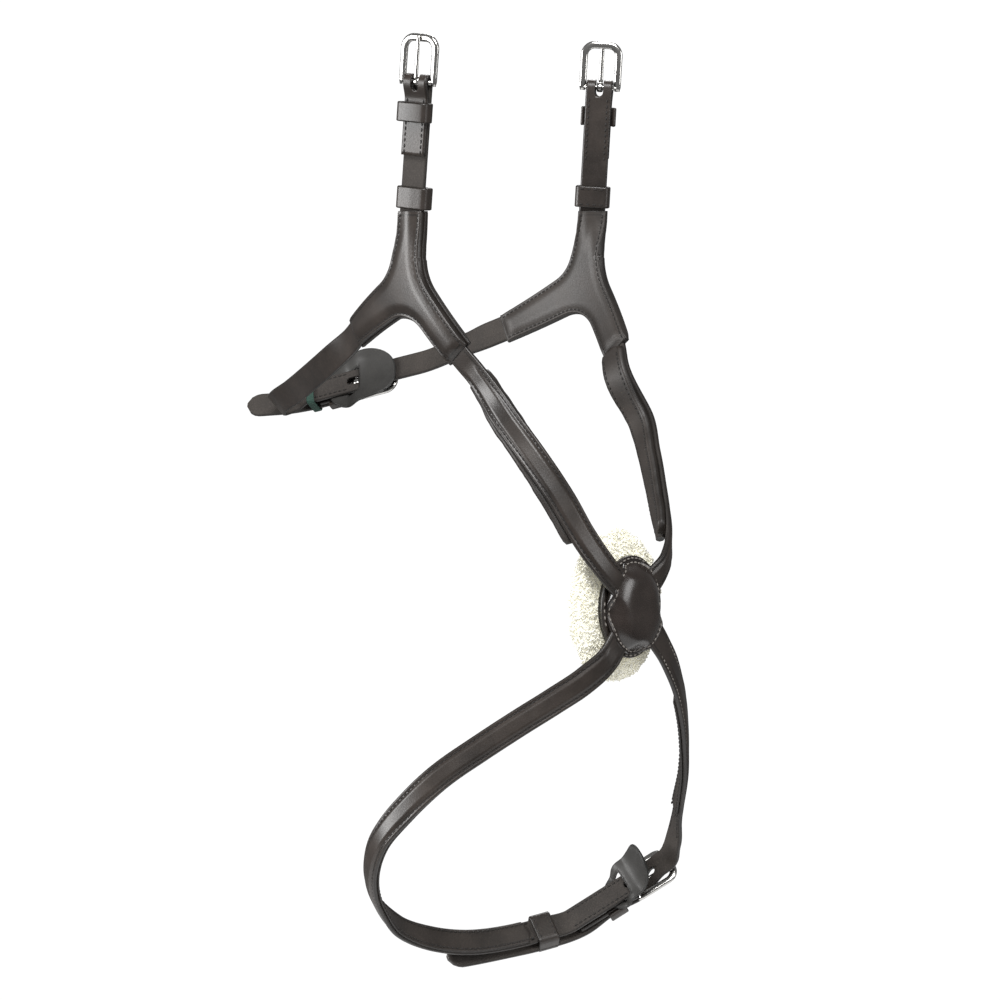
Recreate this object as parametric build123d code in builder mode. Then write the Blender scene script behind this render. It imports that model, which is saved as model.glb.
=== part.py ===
from build123d import *
import math
import os

# Crossover (figure-eight) noseband of a bridle, in millimetres.
# +X points forward along the horse, +Y to the horse's left, +Z up.
# The origin lies midway between the forks of the two cheek pieces.

os.makedirs("parts", exist_ok=True)

# leather
strap_width = 16.0
strap_thick = 2.8
cheek_half = 76.0          # from the middle plane to the middle of a cheek piece
cheek_curve = 230.0        # radius to which the cheek pieces are dished
cheek_outer = (1.6, 3.9)   # outer leather, from the middle of the layers outwards
cheek_inner = (-4.2, -1.5)  # lining
cheek_core = (-1.4, 1.4)   # soft core, in the same layer as the strap ends
keeper_wall = 1.7
keeper_width = 17.6        # inside
pad_width = 19.0
pad_thick = 5.0

# buckles: a = from the bar to the end bar, n = outward, w = along the bar
bar_radius = 1.5
fold_inner = 1.7
fold_outer = fold_inner + strap_thick
strap_mid = -(fold_inner + fold_outer) / 2  # middle of the strap under a bar
frame_width = 25.6
frame_window = 16.8
frame_foot = 2.2
frame_top = 27.8
frame_end_bar = 4.6
frame_corner = 8.5
frame_thick = 3.0
slot_width = 5.2
tongue_width = 3.4
tongue_eye = 3.1
tongue_gap = 0.05          # running clearance on the bar
guard_thick = 1.6

# nose disc, facing +X
nose_x = 112.0             # between the two crossing straps
nose_z = -183.0

parts = 3                  # sections in each span of a strap


def vec(triple):
    return Vector(*triple)


# ---- straps: hand-placed stations, a smooth line through them, square sections along it ----
# a station is (point, outward) or (point, outward, width)
def strap_sections(stations, width=strap_width):
    points = [vec(s[0]) for s in stations]
    facings = [vec(s[1]).normalized() for s in stations]
    widths = [s[2] if len(s) > 2 else width for s in stations]
    spans = [(q - p).length for p, q in zip(points, points[1:])]
    slopes = []
    for i in range(len(points)):
        if i == 0:
            slope = (points[1] - points[0]) / spans[0]
        elif i == len(points) - 1:
            slope = (points[-1] - points[-2]) / spans[-1]
        else:
            before, after = spans[i - 1], spans[i]
            slope = (points[i] - points[i - 1]) * (after / before) + (points[i + 1] - points[i]) * (before / after)
            slope = slope / (before + after)
        slopes.append(slope)
    sections = []
    for i, span in enumerate(spans):
        for k in range(parts + (i == len(spans) - 1)):
            t = k / parts
            point = (points[i] * (2 * t**3 - 3 * t**2 + 1) + slopes[i] * (span * (t**3 - 2 * t**2 + t))
                     + points[i + 1] * (3 * t**2 - 2 * t**3) + slopes[i + 1] * (span * (t**3 - t**2)))
            along = (points[i] * (6 * t**2 - 6 * t) + slopes[i] * (span * (3 * t**2 - 4 * t + 1))
                     + points[i + 1] * (6 * t - 6 * t**2) + slopes[i + 1] * (span * (3 * t**2 - 2 * t)))
            along = along.normalized()
            facing = facings[i] * (1 - t) + facings[i + 1] * t
            across = along.cross(facing).normalized()
            outward = across.cross(along).normalized()
            sections.append((point, along, across, outward, widths[i] * (1 - t) + widths[i + 1] * t))
    return sections


# a flat strap lofted through its sections; trim is taken off the width
def ribbon(sections, thickness=strap_thick, offset=0.0, trim=0.0):
    with BuildPart() as strap:
        for point, along, across, outward, width in sections:
            with BuildSketch(Plane(point + outward * offset, x_dir=across, z_dir=along)):
                Rectangle(width - trim, thickness)
        loft(ruled=True)
    return strap.part


# ---- a buckle's place: its bar, the way to its end bar, and outward ----
class BuckleFrame:
    def __init__(self, bar, along, outward):
        self.bar = vec(bar)
        self.along = vec(along).normalized()
        self.across = self.along.cross(vec(outward)).normalized()
        self.outward = self.across.cross(self.along).normalized()

    def at(self, a, n):
        return self.bar + self.along * a + self.outward * n

    # looking along the bar: x = a, y = n
    def side_plane(self):
        return Plane(self.bar, x_dir=self.along, z_dir=self.across)

    # looking at the face: x = w, y = a
    def face_plane(self, n=0.0):
        return Plane(self.at(0, n), x_dir=self.across, z_dir=self.outward)

    # across the strap at distance a: x = w, y = n
    def cross_plane(self, a, n=0.0):
        return Plane(self.at(a, n), x_dir=self.across, z_dir=-self.along)

    def station(self, a, n, lift=0.0):
        return (tuple(self.at(a, n) + Vector(0, 0, lift)), tuple(self.outward))


# strap end folded round the bar: inner layer, fold, and flap turned back on the outside
def folded_end(frame, strap_length, flap_length, flap_lift=0.0):
    inner_face = -fold_outer
    flap_low = -1.6 + flap_lift
    flap_high = flap_low + strap_thick
    slope = 11.0
    with BuildPart() as chape:
        with BuildSketch(frame.side_plane()):
            with BuildLine():
                Polyline((-strap_length, inner_face), (0, inner_face))
                ThreePointArc((0, -fold_outer), (fold_outer, 0), (0, fold_outer))
                Polyline((0, fold_outer), (-slope, flap_high), (-flap_length, flap_high),
                         (-flap_length, flap_low), (-slope, flap_low), (0, fold_inner))
                ThreePointArc((0, fold_inner), (fold_inner, 0), (0, -fold_inner))
                Polyline((0, -fold_inner), (-strap_length, -fold_inner), (-strap_length, inner_face))
            make_face()
        extrude(amount=strap_width / 2, both=True)
        # slot for the tongue
        with BuildSketch(frame.face_plane(-8)):
            with Locations((0, 0.2)):
                Rectangle(slot_width, 11.4)
        extrude(amount=16, mode=Mode.SUBTRACT)
    return chape.part


# U frame with its bar
def buckle_frame(frame, name):
    half = frame_thick / 2
    with BuildPart() as buckle:
        with BuildSketch(frame.face_plane(-half)):
            with Locations((0, (frame_top - frame_foot) / 2)):
                Rectangle(frame_width, frame_top + frame_foot)
            fillet(vertices().group_by(Axis.Y)[-1], frame_corner)
            fillet(vertices().group_by(Axis.Y)[0], 1.5)
            window_top = frame_top - frame_end_bar
            with Locations((0, (window_top - 2 * frame_foot) / 2)):
                Rectangle(frame_window, window_top + 2 * frame_foot, mode=Mode.SUBTRACT)
        extrude(amount=frame_thick)
        with BuildSketch(frame.side_plane()):
            Circle(bar_radius)
        extrude(amount=frame_width / 2 - 2, both=True)
    buckle.part.label = name
    export_step(buckle.part, "parts/" + name + ".step")
    return buckle.part


# tongue: an eye on the bar and a shank that rests on the end bar
def buckle_tongue(frame, name):
    rest = frame_thick / 2 + 0.25
    with BuildPart() as tongue:
        with BuildSketch(frame.side_plane()):
            Circle(tongue_eye)
            Circle(bar_radius + tongue_gap, mode=Mode.SUBTRACT)
        extrude(amount=tongue_width / 2, both=True)
        with BuildSketch(frame.side_plane()):
            Polygon((0.0, rest), (frame_top - 1.8, rest), (frame_top - 0.8, rest + 0.7),
                    (frame_top - 1.8, rest + 1.8), (12.0, rest + 1.6), (0.0, rest + 1.3), align=None)
        extrude(amount=1.25, both=True)
    tongue.part.label = name
    export_step(tongue.part, "parts/" + name + ".step")
    return tongue.part


# leather loop round a strap; low and high are the inside faces along the outward direction
def keeper(plane, low, high, length, name, wall=keeper_wall, width=keeper_width):
    depth = high - low
    middle = (high + low) / 2
    with BuildPart() as loop:
        with BuildSketch(plane.offset(-length / 2)):
            with Locations((0, middle)):
                RectangleRounded(width + 2 * wall, depth + 2 * wall, wall)
                Rectangle(width, depth, mode=Mode.SUBTRACT)
        extrude(amount=length)
    loop.part.label = name
    export_step(loop.part, "parts/" + name + ".step")
    return loop.part


# fixed keeper: a bridge over the outside, its two feet under the flap's edges
def fixed_keeper(frame, a, base, room, length, name):
    outer = keeper_width / 2 + keeper_wall
    top = base + room + keeper_wall
    with BuildPart() as bridge:
        with BuildSketch(frame.cross_plane(a).offset(-length / 2)):
            with Locations((0, (base + top) / 2)):
                Rectangle(2 * outer, top - base)
            with Locations((0, (base + top) / 2 - keeper_wall)):
                Rectangle(keeper_width, top - base, mode=Mode.SUBTRACT)
        extrude(amount=length)
    bridge.part.label = name
    export_step(bridge.part, "parts/" + name + ".step")
    return bridge.part


# oval guard between the buckle and the horse, sewn in under the flap, with a slot for the strap end;
# crossing is the slot's two ends, free_end its middle line beyond the slot, and drop how far that end hangs inwards;
# half is half its width, and low how far it sits below the strap's middle
def buckle_guard(frame, crossing, free_end, drop, half_width, low, name):
    half = guard_thick / 2
    line = [(-19.5, -0.85), (crossing[0], -0.85)] + free_end
    upper, lower = [], []
    for i, (a, n) in enumerate(line):
        before, after = line[max(i - 1, 0)], line[min(i + 1, len(line) - 1)]
        run = math.hypot(after[0] - before[0], after[1] - before[1])
        side_a, side_n = (before[1] - after[1]) / run * half, (after[0] - before[0]) / run * half
        upper.append((a + side_a, n + side_n))
        lower.append((a - side_a, n - side_n))
    tip = line[-1]
    length = math.hypot(tip[0] + 19.5, drop)
    middle = frame.at((tip[0] - 19.5) / 2, -drop / 2)
    chord = frame.along * (tip[0] + 19.5) - frame.outward * drop
    outline = Plane(middle, x_dir=frame.across, z_dir=frame.across.cross(chord))
    with BuildPart() as guard:
        with BuildSketch(frame.side_plane()):
            with BuildLine():
                Polyline(*upper, *reversed(lower), close=True)
            make_face()
        extrude(amount=20, both=True)
        with BuildSketch(outline):
            with Locations((-low, 0)):
                RectangleRounded(2 * half_width, length, 0.82 * half_width)
        extrude(amount=30, both=True, mode=Mode.INTERSECT)
        with BuildSketch(frame.face_plane(-12)):
            with Locations((0, sum(crossing) / 2)):
                Rectangle(strap_width + 1.0, crossing[1] - crossing[0] + 0.4)
        extrude(amount=24, mode=Mode.SUBTRACT)
    guard.part.label = name
    export_step(guard.part, "parts/" + name + ".step")
    return guard.part


# ---- cheek pieces ----
# a point in the middle layer of a cheek piece, facing outward
def cheek_station(side, x, z):
    reach = math.sqrt(cheek_curve**2 - (x - 3) ** 2 - (z - 20) ** 2)
    return ((x, side * (cheek_half - cheek_curve + reach), z), (x - 3, side * reach, z - 20))


# leaves only the part of a prism that lies between two spheres
def dish(side, inner, outer):
    with Locations((3, -side * (cheek_curve - cheek_half), 20)):
        Sphere(cheek_curve + outer, mode=Mode.INTERSECT)
        Sphere(cheek_curve + inner, mode=Mode.SUBTRACT)


# one dished layer of the fork
def cheek_fork(side, inner, outer):
    with BuildPart() as fork:
        with BuildSketch(Plane.XZ.offset(60 if side < 0 else -84)):
            with BuildLine():
                FilletPolyline((11.5, 20), (11.5, 9.3), (41, -30), radius=30)
                Line((41, -30), (26, -42))
                FilletPolyline((26, -42), (0.5, -10.5), (-54, -33), radius=20)
                Line((-54, -33), (-62, -18))
                FilletPolyline((-62, -18), (-14.5, 10), (-11.6, 20), radius=25)
                Line((-11.6, 20), (11.5, 20))
            make_face()
        extrude(amount=24)
        dish(side, inner, outer)
    return fork.part


# right: the stem turns slightly forward; left: it turns further
stem_turn = {"right": 14.0, "left": 36.0}
stem_lean = {"right": 7.5, "left": 5.8}
# height, middle, width, share of the turn
stem_shape = [(19, -0.4, 23.0, 0.0), (27, 1.2, 20.0, 0.15), (34, 2.5, 18.0, 0.5),
              (41, 3.1, 17.2, 0.85), (47, 3.4, 17.0, 1.0)]
bar_height = {"right": 122.1, "left": 121.9}
keeper_height = {"right": 54.3, "left": 55.5}  # of the sliding keepers


def stem_facing(side, turn):
    return (-side * math.sin(math.radians(turn)), side * math.cos(math.radians(turn)), 0)


def stem_stations(side, turn):
    return [((x, side * cheek_half, z), stem_facing(side, turn * share), width)
            for z, x, width, share in stem_shape]


def hanger_frame(side, name):
    turn = stem_turn[name]
    foot = Vector(3.4, side * cheek_half, 47)
    top = Vector(3.4 + stem_lean[name], side * cheek_half, bar_height[name])
    along = top - foot
    place = BuckleFrame(top, along, stem_facing(side, turn))
    return BuckleFrame(place.at(0, -strap_mid), along, stem_facing(side, turn))


hangers = {}
for name, side in (("right", -1), ("left", 1)):
    hangers[name] = hanger_frame(side, name)
    turn = stem_turn[name]
    stem = stem_stations(side, turn)
    stem_sections = strap_sections(stem)

    outer_fork = cheek_fork(side, *cheek_outer)
    outer_stem = ribbon(stem_sections, cheek_outer[1] - cheek_outer[0], sum(cheek_outer) / 2)
    with BuildPart() as cheek_shape:
        add(outer_fork)
        add(outer_stem)
    cheek_shape.part.label = name + "_cheek_shape"
    export_step(cheek_shape.part, "parts/" + name + "_cheek_shape.step")

    inner_fork = cheek_fork(side, *cheek_inner)
    inner_stem = ribbon(stem_sections, cheek_inner[1] - cheek_inner[0], sum(cheek_inner) / 2)
    with BuildPart() as cheek_lining:
        add(inner_fork)
        add(inner_stem)
    cheek_lining.part.label = name + "_cheek_lining"
    export_step(cheek_lining.part, "parts/" + name + "_cheek_lining.step")

    # soft core in the middle of the fork, short of the strap ends and the sewn edges
    with BuildPart() as cheek_core_part:
        with BuildSketch(Plane.XZ.offset(60 if side < 0 else -84)):
            with BuildLine():
                Polyline((7, 17), (7, 8), (20, -9), (7, -15), (-3, -10), (-20, -14),
                         (-32, -9), (-14, 6), (-6, 17), close=True)
            make_face()
        extrude(amount=24)
        dish(side, *cheek_core)
    cheek_core_part.part.label = name + "_cheek_core"
    export_step(cheek_core_part.part, "parts/" + name + "_cheek_core.step")

    # hanger strap: out of the top of the stem, round the buckle bar and back down outside
    frame = hangers[name]
    chape = folded_end(frame, 46.0, 43.0)
    lower = ribbon(strap_sections([stem[2][:2], stem[3][:2], stem[4][:2], frame.station(-66, strap_mid),
                                   frame.station(-45.5, strap_mid)]))
    with BuildPart() as hanger_strap:
        add(lower)
        add(chape)
    hanger_strap.part.label = name + "_hanger_strap"
    export_step(hanger_strap.part, "parts/" + name + "_hanger_strap.step")

    buckle_frame(frame, name + "_hanger_buckle")
    buckle_tongue(frame, name + "_hanger_tongue")
    fixed_keeper(frame, -17.8, -1.5, 6.2, 11.5, name + "_hanger_fixed_keeper")
    slide = keeper_height[name] - bar_height[name]
    keeper(frame.cross_plane(slide), -8.1, -1.3, 13.0, name + "_hanger_sliding_keeper")


# ---- the two crossover straps ----
chin = BuckleFrame((31, 85, -365), (0.56, 0.64, 0.53), (-0.30, 0.75, -0.59))
jaw = BuckleFrame((-159.4, 32.3, -61.5), (0.86, 0.44, 0.25), (-0.22, 0.83, -0.51))
flap_lift = 1.8            # the guard's edge is sewn in under the flap

# billet through a buckle: under the end bar, up through the window, over the fold, down the outside
billet_path = [(25, -4.2), (19, -3.6), (13.5, -0.9), (8, 3.6), (2.5, 6.5), (-4, 6.5), (-11, 5.0), (-20, 4.7)]

right_front = [
    cheek_station(-1, 25, -25),
    cheek_station(-1, 34, -37),
    cheek_station(-1, 42, -47),
    ((66, -60, -74), (0.55, -0.82, 0.0)),
    ((83, -55, -95), (0.70, -0.70, 0.05)),
    ((97, -47, -118), (0.84, -0.53, 0.1)),
    ((107, -38, -141), (0.93, -0.35, 0.1)),
    ((113, -24, -161), (1.0, -0.10, 0.0)),
    ((113.5, -12, -172), (1.0, 0.0, 0.0)),
]
left_front = [
    cheek_station(1, 25, -25),
    cheek_station(1, 33, -38),
    cheek_station(1, 39, -48),
    ((57, 69, -79), (0.26, 0.94, -0.1)),
    ((73, 61, -101), (0.40, 0.90, 0.0)),
    ((89, 50, -124), (0.50, 0.86, 0.0)),
    ((102, 38, -143), (0.66, 0.75, 0.0)),
    ((110.2, 27, -158), (0.88, 0.45, 0.0)),
    ((110.6, 14, -170), (1.0, 0.0, 0.0)),
]
left_fall = [
    ((113.4, 13, -198), (1.0, 0.05, 0.0)),
    ((112.4, 26, -213), (0.96, 0.28, 0.0)),
    ((105, 45, -236), (0.88, 0.48, 0.0)),
    ((92, 64, -264), (0.77, 0.63, 0.0)),
    ((79, 78, -291), (0.64, 0.77, -0.1)),
    ((65, 88, -315), (0.45, 0.86, -0.2)),
    ((54, 96, -336), (0.09, 0.93, -0.35)),
]
right_fall = [
    ((110.6, -12, -199), (1.0, 0.0, 0.0)),
    ((109.6, -20, -211), (1.0, -0.10, 0.1)),
    ((101, -31, -224), (0.94, -0.25, 0.26)),
    ((88, -43, -236), (0.87, -0.38, 0.31)),
    ((73, -57, -249), (0.83, -0.44, 0.34)),
    ((56, -72, -264), (0.78, -0.50, 0.37)),
    ((38, -88, -281), (0.69, -0.62, 0.39)),
    ((21, -99, -300), (0.41, -0.84, 0.36)),
    ((5, -105, -320), (0.00, -0.97, 0.25)),
    ((-9, -99, -341), (-0.25, -0.97, 0.04)),
    ((-20, -83, -363), (-0.54, -0.73, -0.41)),
    ((-25, -60, -381), (-0.76, 0.04, -0.65)),
    ((-25, -34, -391), (-0.69, 0.41, -0.60)),
    ((-20, -7, -396), (-0.59, 0.59, -0.56)),
    ((-11, 19, -395), (-0.47, 0.68, -0.56)),
    ((-2, 40, -391), (-0.41, 0.72, -0.56)),
]
cross_gap = strap_thick / 2 + 0.15


# the sections from one station to another
def stretch(sections, first, last):
    return sections[first * parts:last * parts + 1]


# from the right cheek over the nose to the left side, ending as the chin billet
chin_tail = [
    ((8, 63, -390), (-0.34, 0.74, -0.58)),
    ((-4, 42, -397), (-0.41, 0.72, -0.56)),
    ((-15, 20, -401), (-0.47, 0.68, -0.56)),
    ((-25, -4, -404), (-0.59, 0.59, -0.56)),
    ((-29, -16, -405), (-0.62, 0.55, -0.56)),
]
over_route = (right_front + [((nose_x + cross_gap, 0, nose_z), (1, 0, 0))] + left_fall
              + [chin.station(a, n) for a, n in billet_path] + chin_tail)
over_sections = strap_sections(over_route)
over_strap = ribbon(over_sections)


# oval holes punched through a billet, square to its face
def punch(sections, length=6.0, width=4.6):
    with BuildPart() as punches:
        for point, along, across, outward, strap in sections:
            with BuildSketch(Plane(point - outward * 5, x_dir=along, z_dir=outward)):
                SlotOverall(length, width)
            extrude(amount=10)
    return punches.part


# the hole that the tongue is through
def tongue_hole(frame):
    with BuildPart() as hole:
        with BuildSketch(frame.face_plane(-6)):
            with Locations((0, 10)):
                SlotOverall(12.0, 4.6, rotation=90)
        extrude(amount=16)
    return hole.part


chin_holes = punch([over_sections[-1 - 3 * parts], over_sections[-1 - 2 * parts]])
with BuildPart() as crossover_strap_right:
    add(over_strap)
    add(tongue_hole(chin), mode=Mode.SUBTRACT)
    add(chin_holes, mode=Mode.SUBTRACT)
crossover_strap_right.part.label = "crossover_strap_right"
export_step(crossover_strap_right.part, "parts/crossover_strap_right.step")

# from the left cheek under the other strap to the right side and round to the chin buckle
under_route = (left_front + [((nose_x - cross_gap, 0, nose_z), (1, 0, 0))] + right_fall
               + [chin.station(-43.5, strap_mid)])
under_sections = strap_sections(under_route)
under_strap = ribbon(under_sections)
chin_chape = folded_end(chin, 44.0, 42.0, flap_lift)
with BuildPart() as crossover_strap_left:
    add(under_strap)
    add(chin_chape)
crossover_strap_left.part.label = "crossover_strap_left"
export_step(crossover_strap_left.part, "parts/crossover_strap_left.step")

# linings sewn inside the lower halves
lining_thick = 1.4
lining_offset = -(strap_thick + lining_thick) / 2 - 0.2
fall_start = len(left_front) + 1
with BuildPart() as chin_lining_right:
    add(ribbon(stretch(under_sections, fall_start + 2, fall_start + 14), lining_thick, lining_offset, 0.6))
chin_lining_right.part.label = "chin_lining_right"
export_step(chin_lining_right.part, "parts/chin_lining_right.step")
with BuildPart() as chin_lining_left:
    add(ribbon(stretch(over_sections, fall_start + 2, fall_start + 5), lining_thick, lining_offset, 0.6))
chin_lining_left.part.label = "chin_lining_left"
export_step(chin_lining_left.part, "parts/chin_lining_left.step")

# padded backing of the upper front straps
pad_offset = -(strap_thick + pad_thick) / 2 - 0.1
with BuildPart() as right_front_pad:
    add(ribbon(stretch(over_sections, 2, 6), pad_thick, pad_offset, strap_width - pad_width))
right_front_pad.part.label = "right_front_pad"
export_step(right_front_pad.part, "parts/right_front_pad.step")
with BuildPart() as left_front_pad:
    add(ribbon(stretch(under_sections, 2, 6), pad_thick, pad_offset, strap_width - pad_width))
left_front_pad.part.label = "left_front_pad"
export_step(left_front_pad.part, "parts/left_front_pad.step")

# ---- nose disc: sheepskin, felt, sewn base and domed cover over the crossing ----
plate_front = nose_x - cross_gap - strap_thick / 2 - 0.2
plate_thick = 2.4
felt_thick = 2.5
cover_front = nose_x + cross_gap + strap_thick / 2 + 4.0


def nose_plane(x):
    return Plane((x, 0, nose_z), x_dir=(0, 1, 0), z_dir=(1, 0, 0))


with BuildPart() as nose_plate:
    with BuildSketch(nose_plane(plate_front - plate_thick)):
        Ellipse(25.0, 30.0)
    extrude(amount=plate_thick)
nose_plate.part.label = "nose_plate"
export_step(nose_plate.part, "parts/nose_plate.step")

felt_back = plate_front - plate_thick - felt_thick - 0.1
with BuildPart() as nose_felt:
    with BuildSketch(nose_plane(felt_back)):
        Ellipse(23.5, 28.5)
    extrude(amount=felt_thick)
nose_felt.part.label = "nose_felt"
export_step(nose_felt.part, "parts/nose_felt.step")

fleece_thick = 18.0
with BuildPart() as nose_sheepskin:
    with BuildSketch(nose_plane(felt_back - 0.2 - fleece_thick)):
        Ellipse(36, 45)
    extrude(amount=fleece_thick)
    fillet(nose_sheepskin.faces().sort_by(Axis.X)[-1].edges(), 7)
    fillet(nose_sheepskin.faces().sort_by(Axis.X)[0].edges(), 7)
nose_sheepskin.part.label = "nose_sheepskin"
export_step(nose_sheepskin.part, "parts/nose_sheepskin.step")

channel = strap_thick + 0.3
over_channel = ribbon(stretch(over_sections, 6, 12), channel, 0.0, -0.8)
under_channel = ribbon(stretch(under_sections, 6, 12), channel, 0.0, -0.8)
with BuildPart() as nose_cover:
    with BuildSketch(nose_plane(plate_front + 0.05)):
        Ellipse(22.5, 28.0)
    extrude(amount=cover_front - plate_front - 0.05)
    fillet(nose_cover.faces().sort_by(Axis.X)[-1].edges(), 6)
    add(over_channel, mode=Mode.SUBTRACT)
    add(under_channel, mode=Mode.SUBTRACT)
nose_cover.part.label = "nose_cover"
export_step(nose_cover.part, "parts/nose_cover.step")

# ---- chin fittings ----
buckle_frame(chin, "chin_buckle")
buckle_tongue(chin, "chin_tongue")
chin_guard_end = [(-3.8, -7.4), (3.0, -9.0), (8.0, -13.5), (11.5, -20.0), (13.5, -28.0)]
buckle_guard(chin, (-9.5, -3.6), chin_guard_end, 28.0, 14.5, 0.0, "chin_buckle_guard")
fixed_keeper(chin, -17.0, flap_lift + 1.3 - strap_thick, 6.6, 12.0, "chin_fixed_keeper")
point, along, across, outward, strap = under_sections[-1 - parts]
keeper(Plane(point, x_dir=across, z_dir=along), -1.7, 8.2, 13.0, "chin_sliding_keeper")

# ---- jaw strap ----
jaw_round = [
    cheek_station(-1, -43, -19),
    cheek_station(-1, -56, -25),
    cheek_station(-1, -68, -31),
    ((-90, -54, -42), (-0.25, -0.85, -0.46)),
    ((-125, -40, -55), (-0.30, -0.80, -0.50)),
    ((-158, -24, -65), (-0.40, -0.72, -0.56)),
    ((-185, -12, -73), (-0.60, -0.45, -0.66)),
    ((-196, -1, -75.5), (-0.80, 0.00, -0.60)),
    ((-194.5, 10, -73), (-0.60, 0.50, -0.62)),
]
jaw_strap_route = jaw_round + [jaw.station(-34.0, strap_mid - 0.1), jaw.station(-27.5, strap_mid)]
jaw_strap = ribbon(strap_sections(jaw_strap_route))
jaw_chape = folded_end(jaw, 28.0, 27.0, flap_lift)
with BuildPart() as jaw_strap_right:
    add(jaw_strap)
    add(jaw_chape)
jaw_strap_right.part.label = "jaw_strap_right"
export_step(jaw_strap_right.part, "parts/jaw_strap_right.step")

jaw_billet_route = ([cheek_station(1, -43, -19), cheek_station(1, -56, -24.5), cheek_station(1, -68, -29.5),
                     ((-90, 57, -37), (-0.25, 0.85, -0.46)), jaw.station(48, -4.2), jaw.station(36, -4.2)]
                    + [jaw.station(a, n) for a, n in billet_path]
                    + [jaw.station(-34, 4.4), jaw.station(-50, 4.0, 1.2), jaw.station(-64, 3.4, 3.2),
                       jaw.station(-78, 2.8, 5.4)])
jaw_billet_sections = strap_sections(jaw_billet_route)
jaw_billet = ribbon(jaw_billet_sections)
jaw_holes = punch([jaw_billet_sections[-1 - 3 * parts], jaw_billet_sections[-1 - 2 * parts]])
with BuildPart() as jaw_strap_left:
    add(jaw_billet)
    add(tongue_hole(jaw), mode=Mode.SUBTRACT)
    add(jaw_holes, mode=Mode.SUBTRACT)
jaw_strap_left.part.label = "jaw_strap_left"
export_step(jaw_strap_left.part, "parts/jaw_strap_left.step")

buckle_frame(jaw, "jaw_buckle")
buckle_tongue(jaw, "jaw_tongue")
buckle_guard(jaw, (-5.6, 6.0), [(5.4, -7.5), (29.5, -7.5)], 0.0, 18.5, 2.5, "jaw_buckle_guard")
fixed_keeper(jaw, -16.0, flap_lift + 1.3 - strap_thick, 6.6, 10.0, "jaw_fixed_keeper")
keeper(jaw.cross_plane(-30.4), -5.5, 6.6, 5.0, "jaw_keeper_band", wall=1.0, width=17.0)
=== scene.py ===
import math

import bmesh
import bpy
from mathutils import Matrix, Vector, noise
from mathutils.geometry import delaunay_2d_cdt


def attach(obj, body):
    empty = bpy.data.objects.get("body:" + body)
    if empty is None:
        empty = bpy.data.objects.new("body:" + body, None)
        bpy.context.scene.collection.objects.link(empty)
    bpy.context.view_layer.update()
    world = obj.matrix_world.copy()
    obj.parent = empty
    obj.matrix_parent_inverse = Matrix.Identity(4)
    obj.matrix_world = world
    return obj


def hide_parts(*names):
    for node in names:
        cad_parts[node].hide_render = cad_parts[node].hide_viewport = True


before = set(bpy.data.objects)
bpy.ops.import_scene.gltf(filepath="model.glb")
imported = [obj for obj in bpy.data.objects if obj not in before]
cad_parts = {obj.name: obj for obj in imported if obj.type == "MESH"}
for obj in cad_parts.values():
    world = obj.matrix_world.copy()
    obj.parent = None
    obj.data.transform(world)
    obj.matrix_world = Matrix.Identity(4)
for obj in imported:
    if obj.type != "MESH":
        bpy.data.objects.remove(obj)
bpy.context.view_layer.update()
mm = 0.001
print("stage: frame loaded")


# arithmetic on a Socket adds Math nodes; any other node comes from make()
class Socket:
    def __init__(self, tree, link=None):
        self.tree = tree
        self.link = link

    def make(self, kind, settings=None, inputs=None, out=0):
        made = self.tree.nodes.new(kind)
        for key, value in (settings or {}).items():
            if key == "stops":
                ramp = made.color_ramp
                while len(ramp.elements) < len(value):
                    ramp.elements.new(0.5)
                for element, (place, shade) in zip(ramp.elements, value):
                    element.position = place
                    element.color = (shade, shade, shade, 1) if isinstance(shade, float) else (*shade, 1)
            else:
                setattr(made, key, value)
        for key, value in (inputs or {}).items():
            if isinstance(value, Socket):
                self.tree.links.new(value.link, made.inputs[key])
            else:
                made.inputs[key].default_value = value
        return Socket(self.tree, made.outputs[out])

    def math(self, operation, first, second):
        return self.make("ShaderNodeMath", {"operation": operation}, {0: first, 1: second})

    def __add__(self, other):
        return self.math("ADD", self, other)

    def __radd__(self, other):
        return self.math("ADD", other, self)

    def __sub__(self, other):
        return self.math("SUBTRACT", self, other)

    def __rsub__(self, other):
        return self.math("SUBTRACT", other, self)

    def __mul__(self, other):
        return self.math("MULTIPLY", self, other)

    def __rmul__(self, other):
        return self.math("MULTIPLY", other, self)


def newMaterial(name):
    material = bpy.data.materials.new(name)
    material.use_nodes = True
    tree = material.node_tree
    tree.nodes.clear()
    return material, Socket(tree)


# sets the shader's sockets, with a bump from height, and links it to the output
def finishShader(start, values, height=None, depth=0.0001):
    if height is not None:
        bump = {"Strength": 1.0, "Distance": depth, "Height": height}
        values["Normal"] = start.make("ShaderNodeBump", None, bump)
    shader = start.make("ShaderNodeBsdfPrincipled", None, values)
    output = start.tree.nodes.new("ShaderNodeOutputMaterial")
    start.tree.links.new(shader.link, output.inputs["Surface"])


def mixColours(start, factor, first, second):
    return start.make("ShaderNodeMix", {"data_type": "RGBA"}, {0: factor, 6: first, 7: second}, 2)


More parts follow.
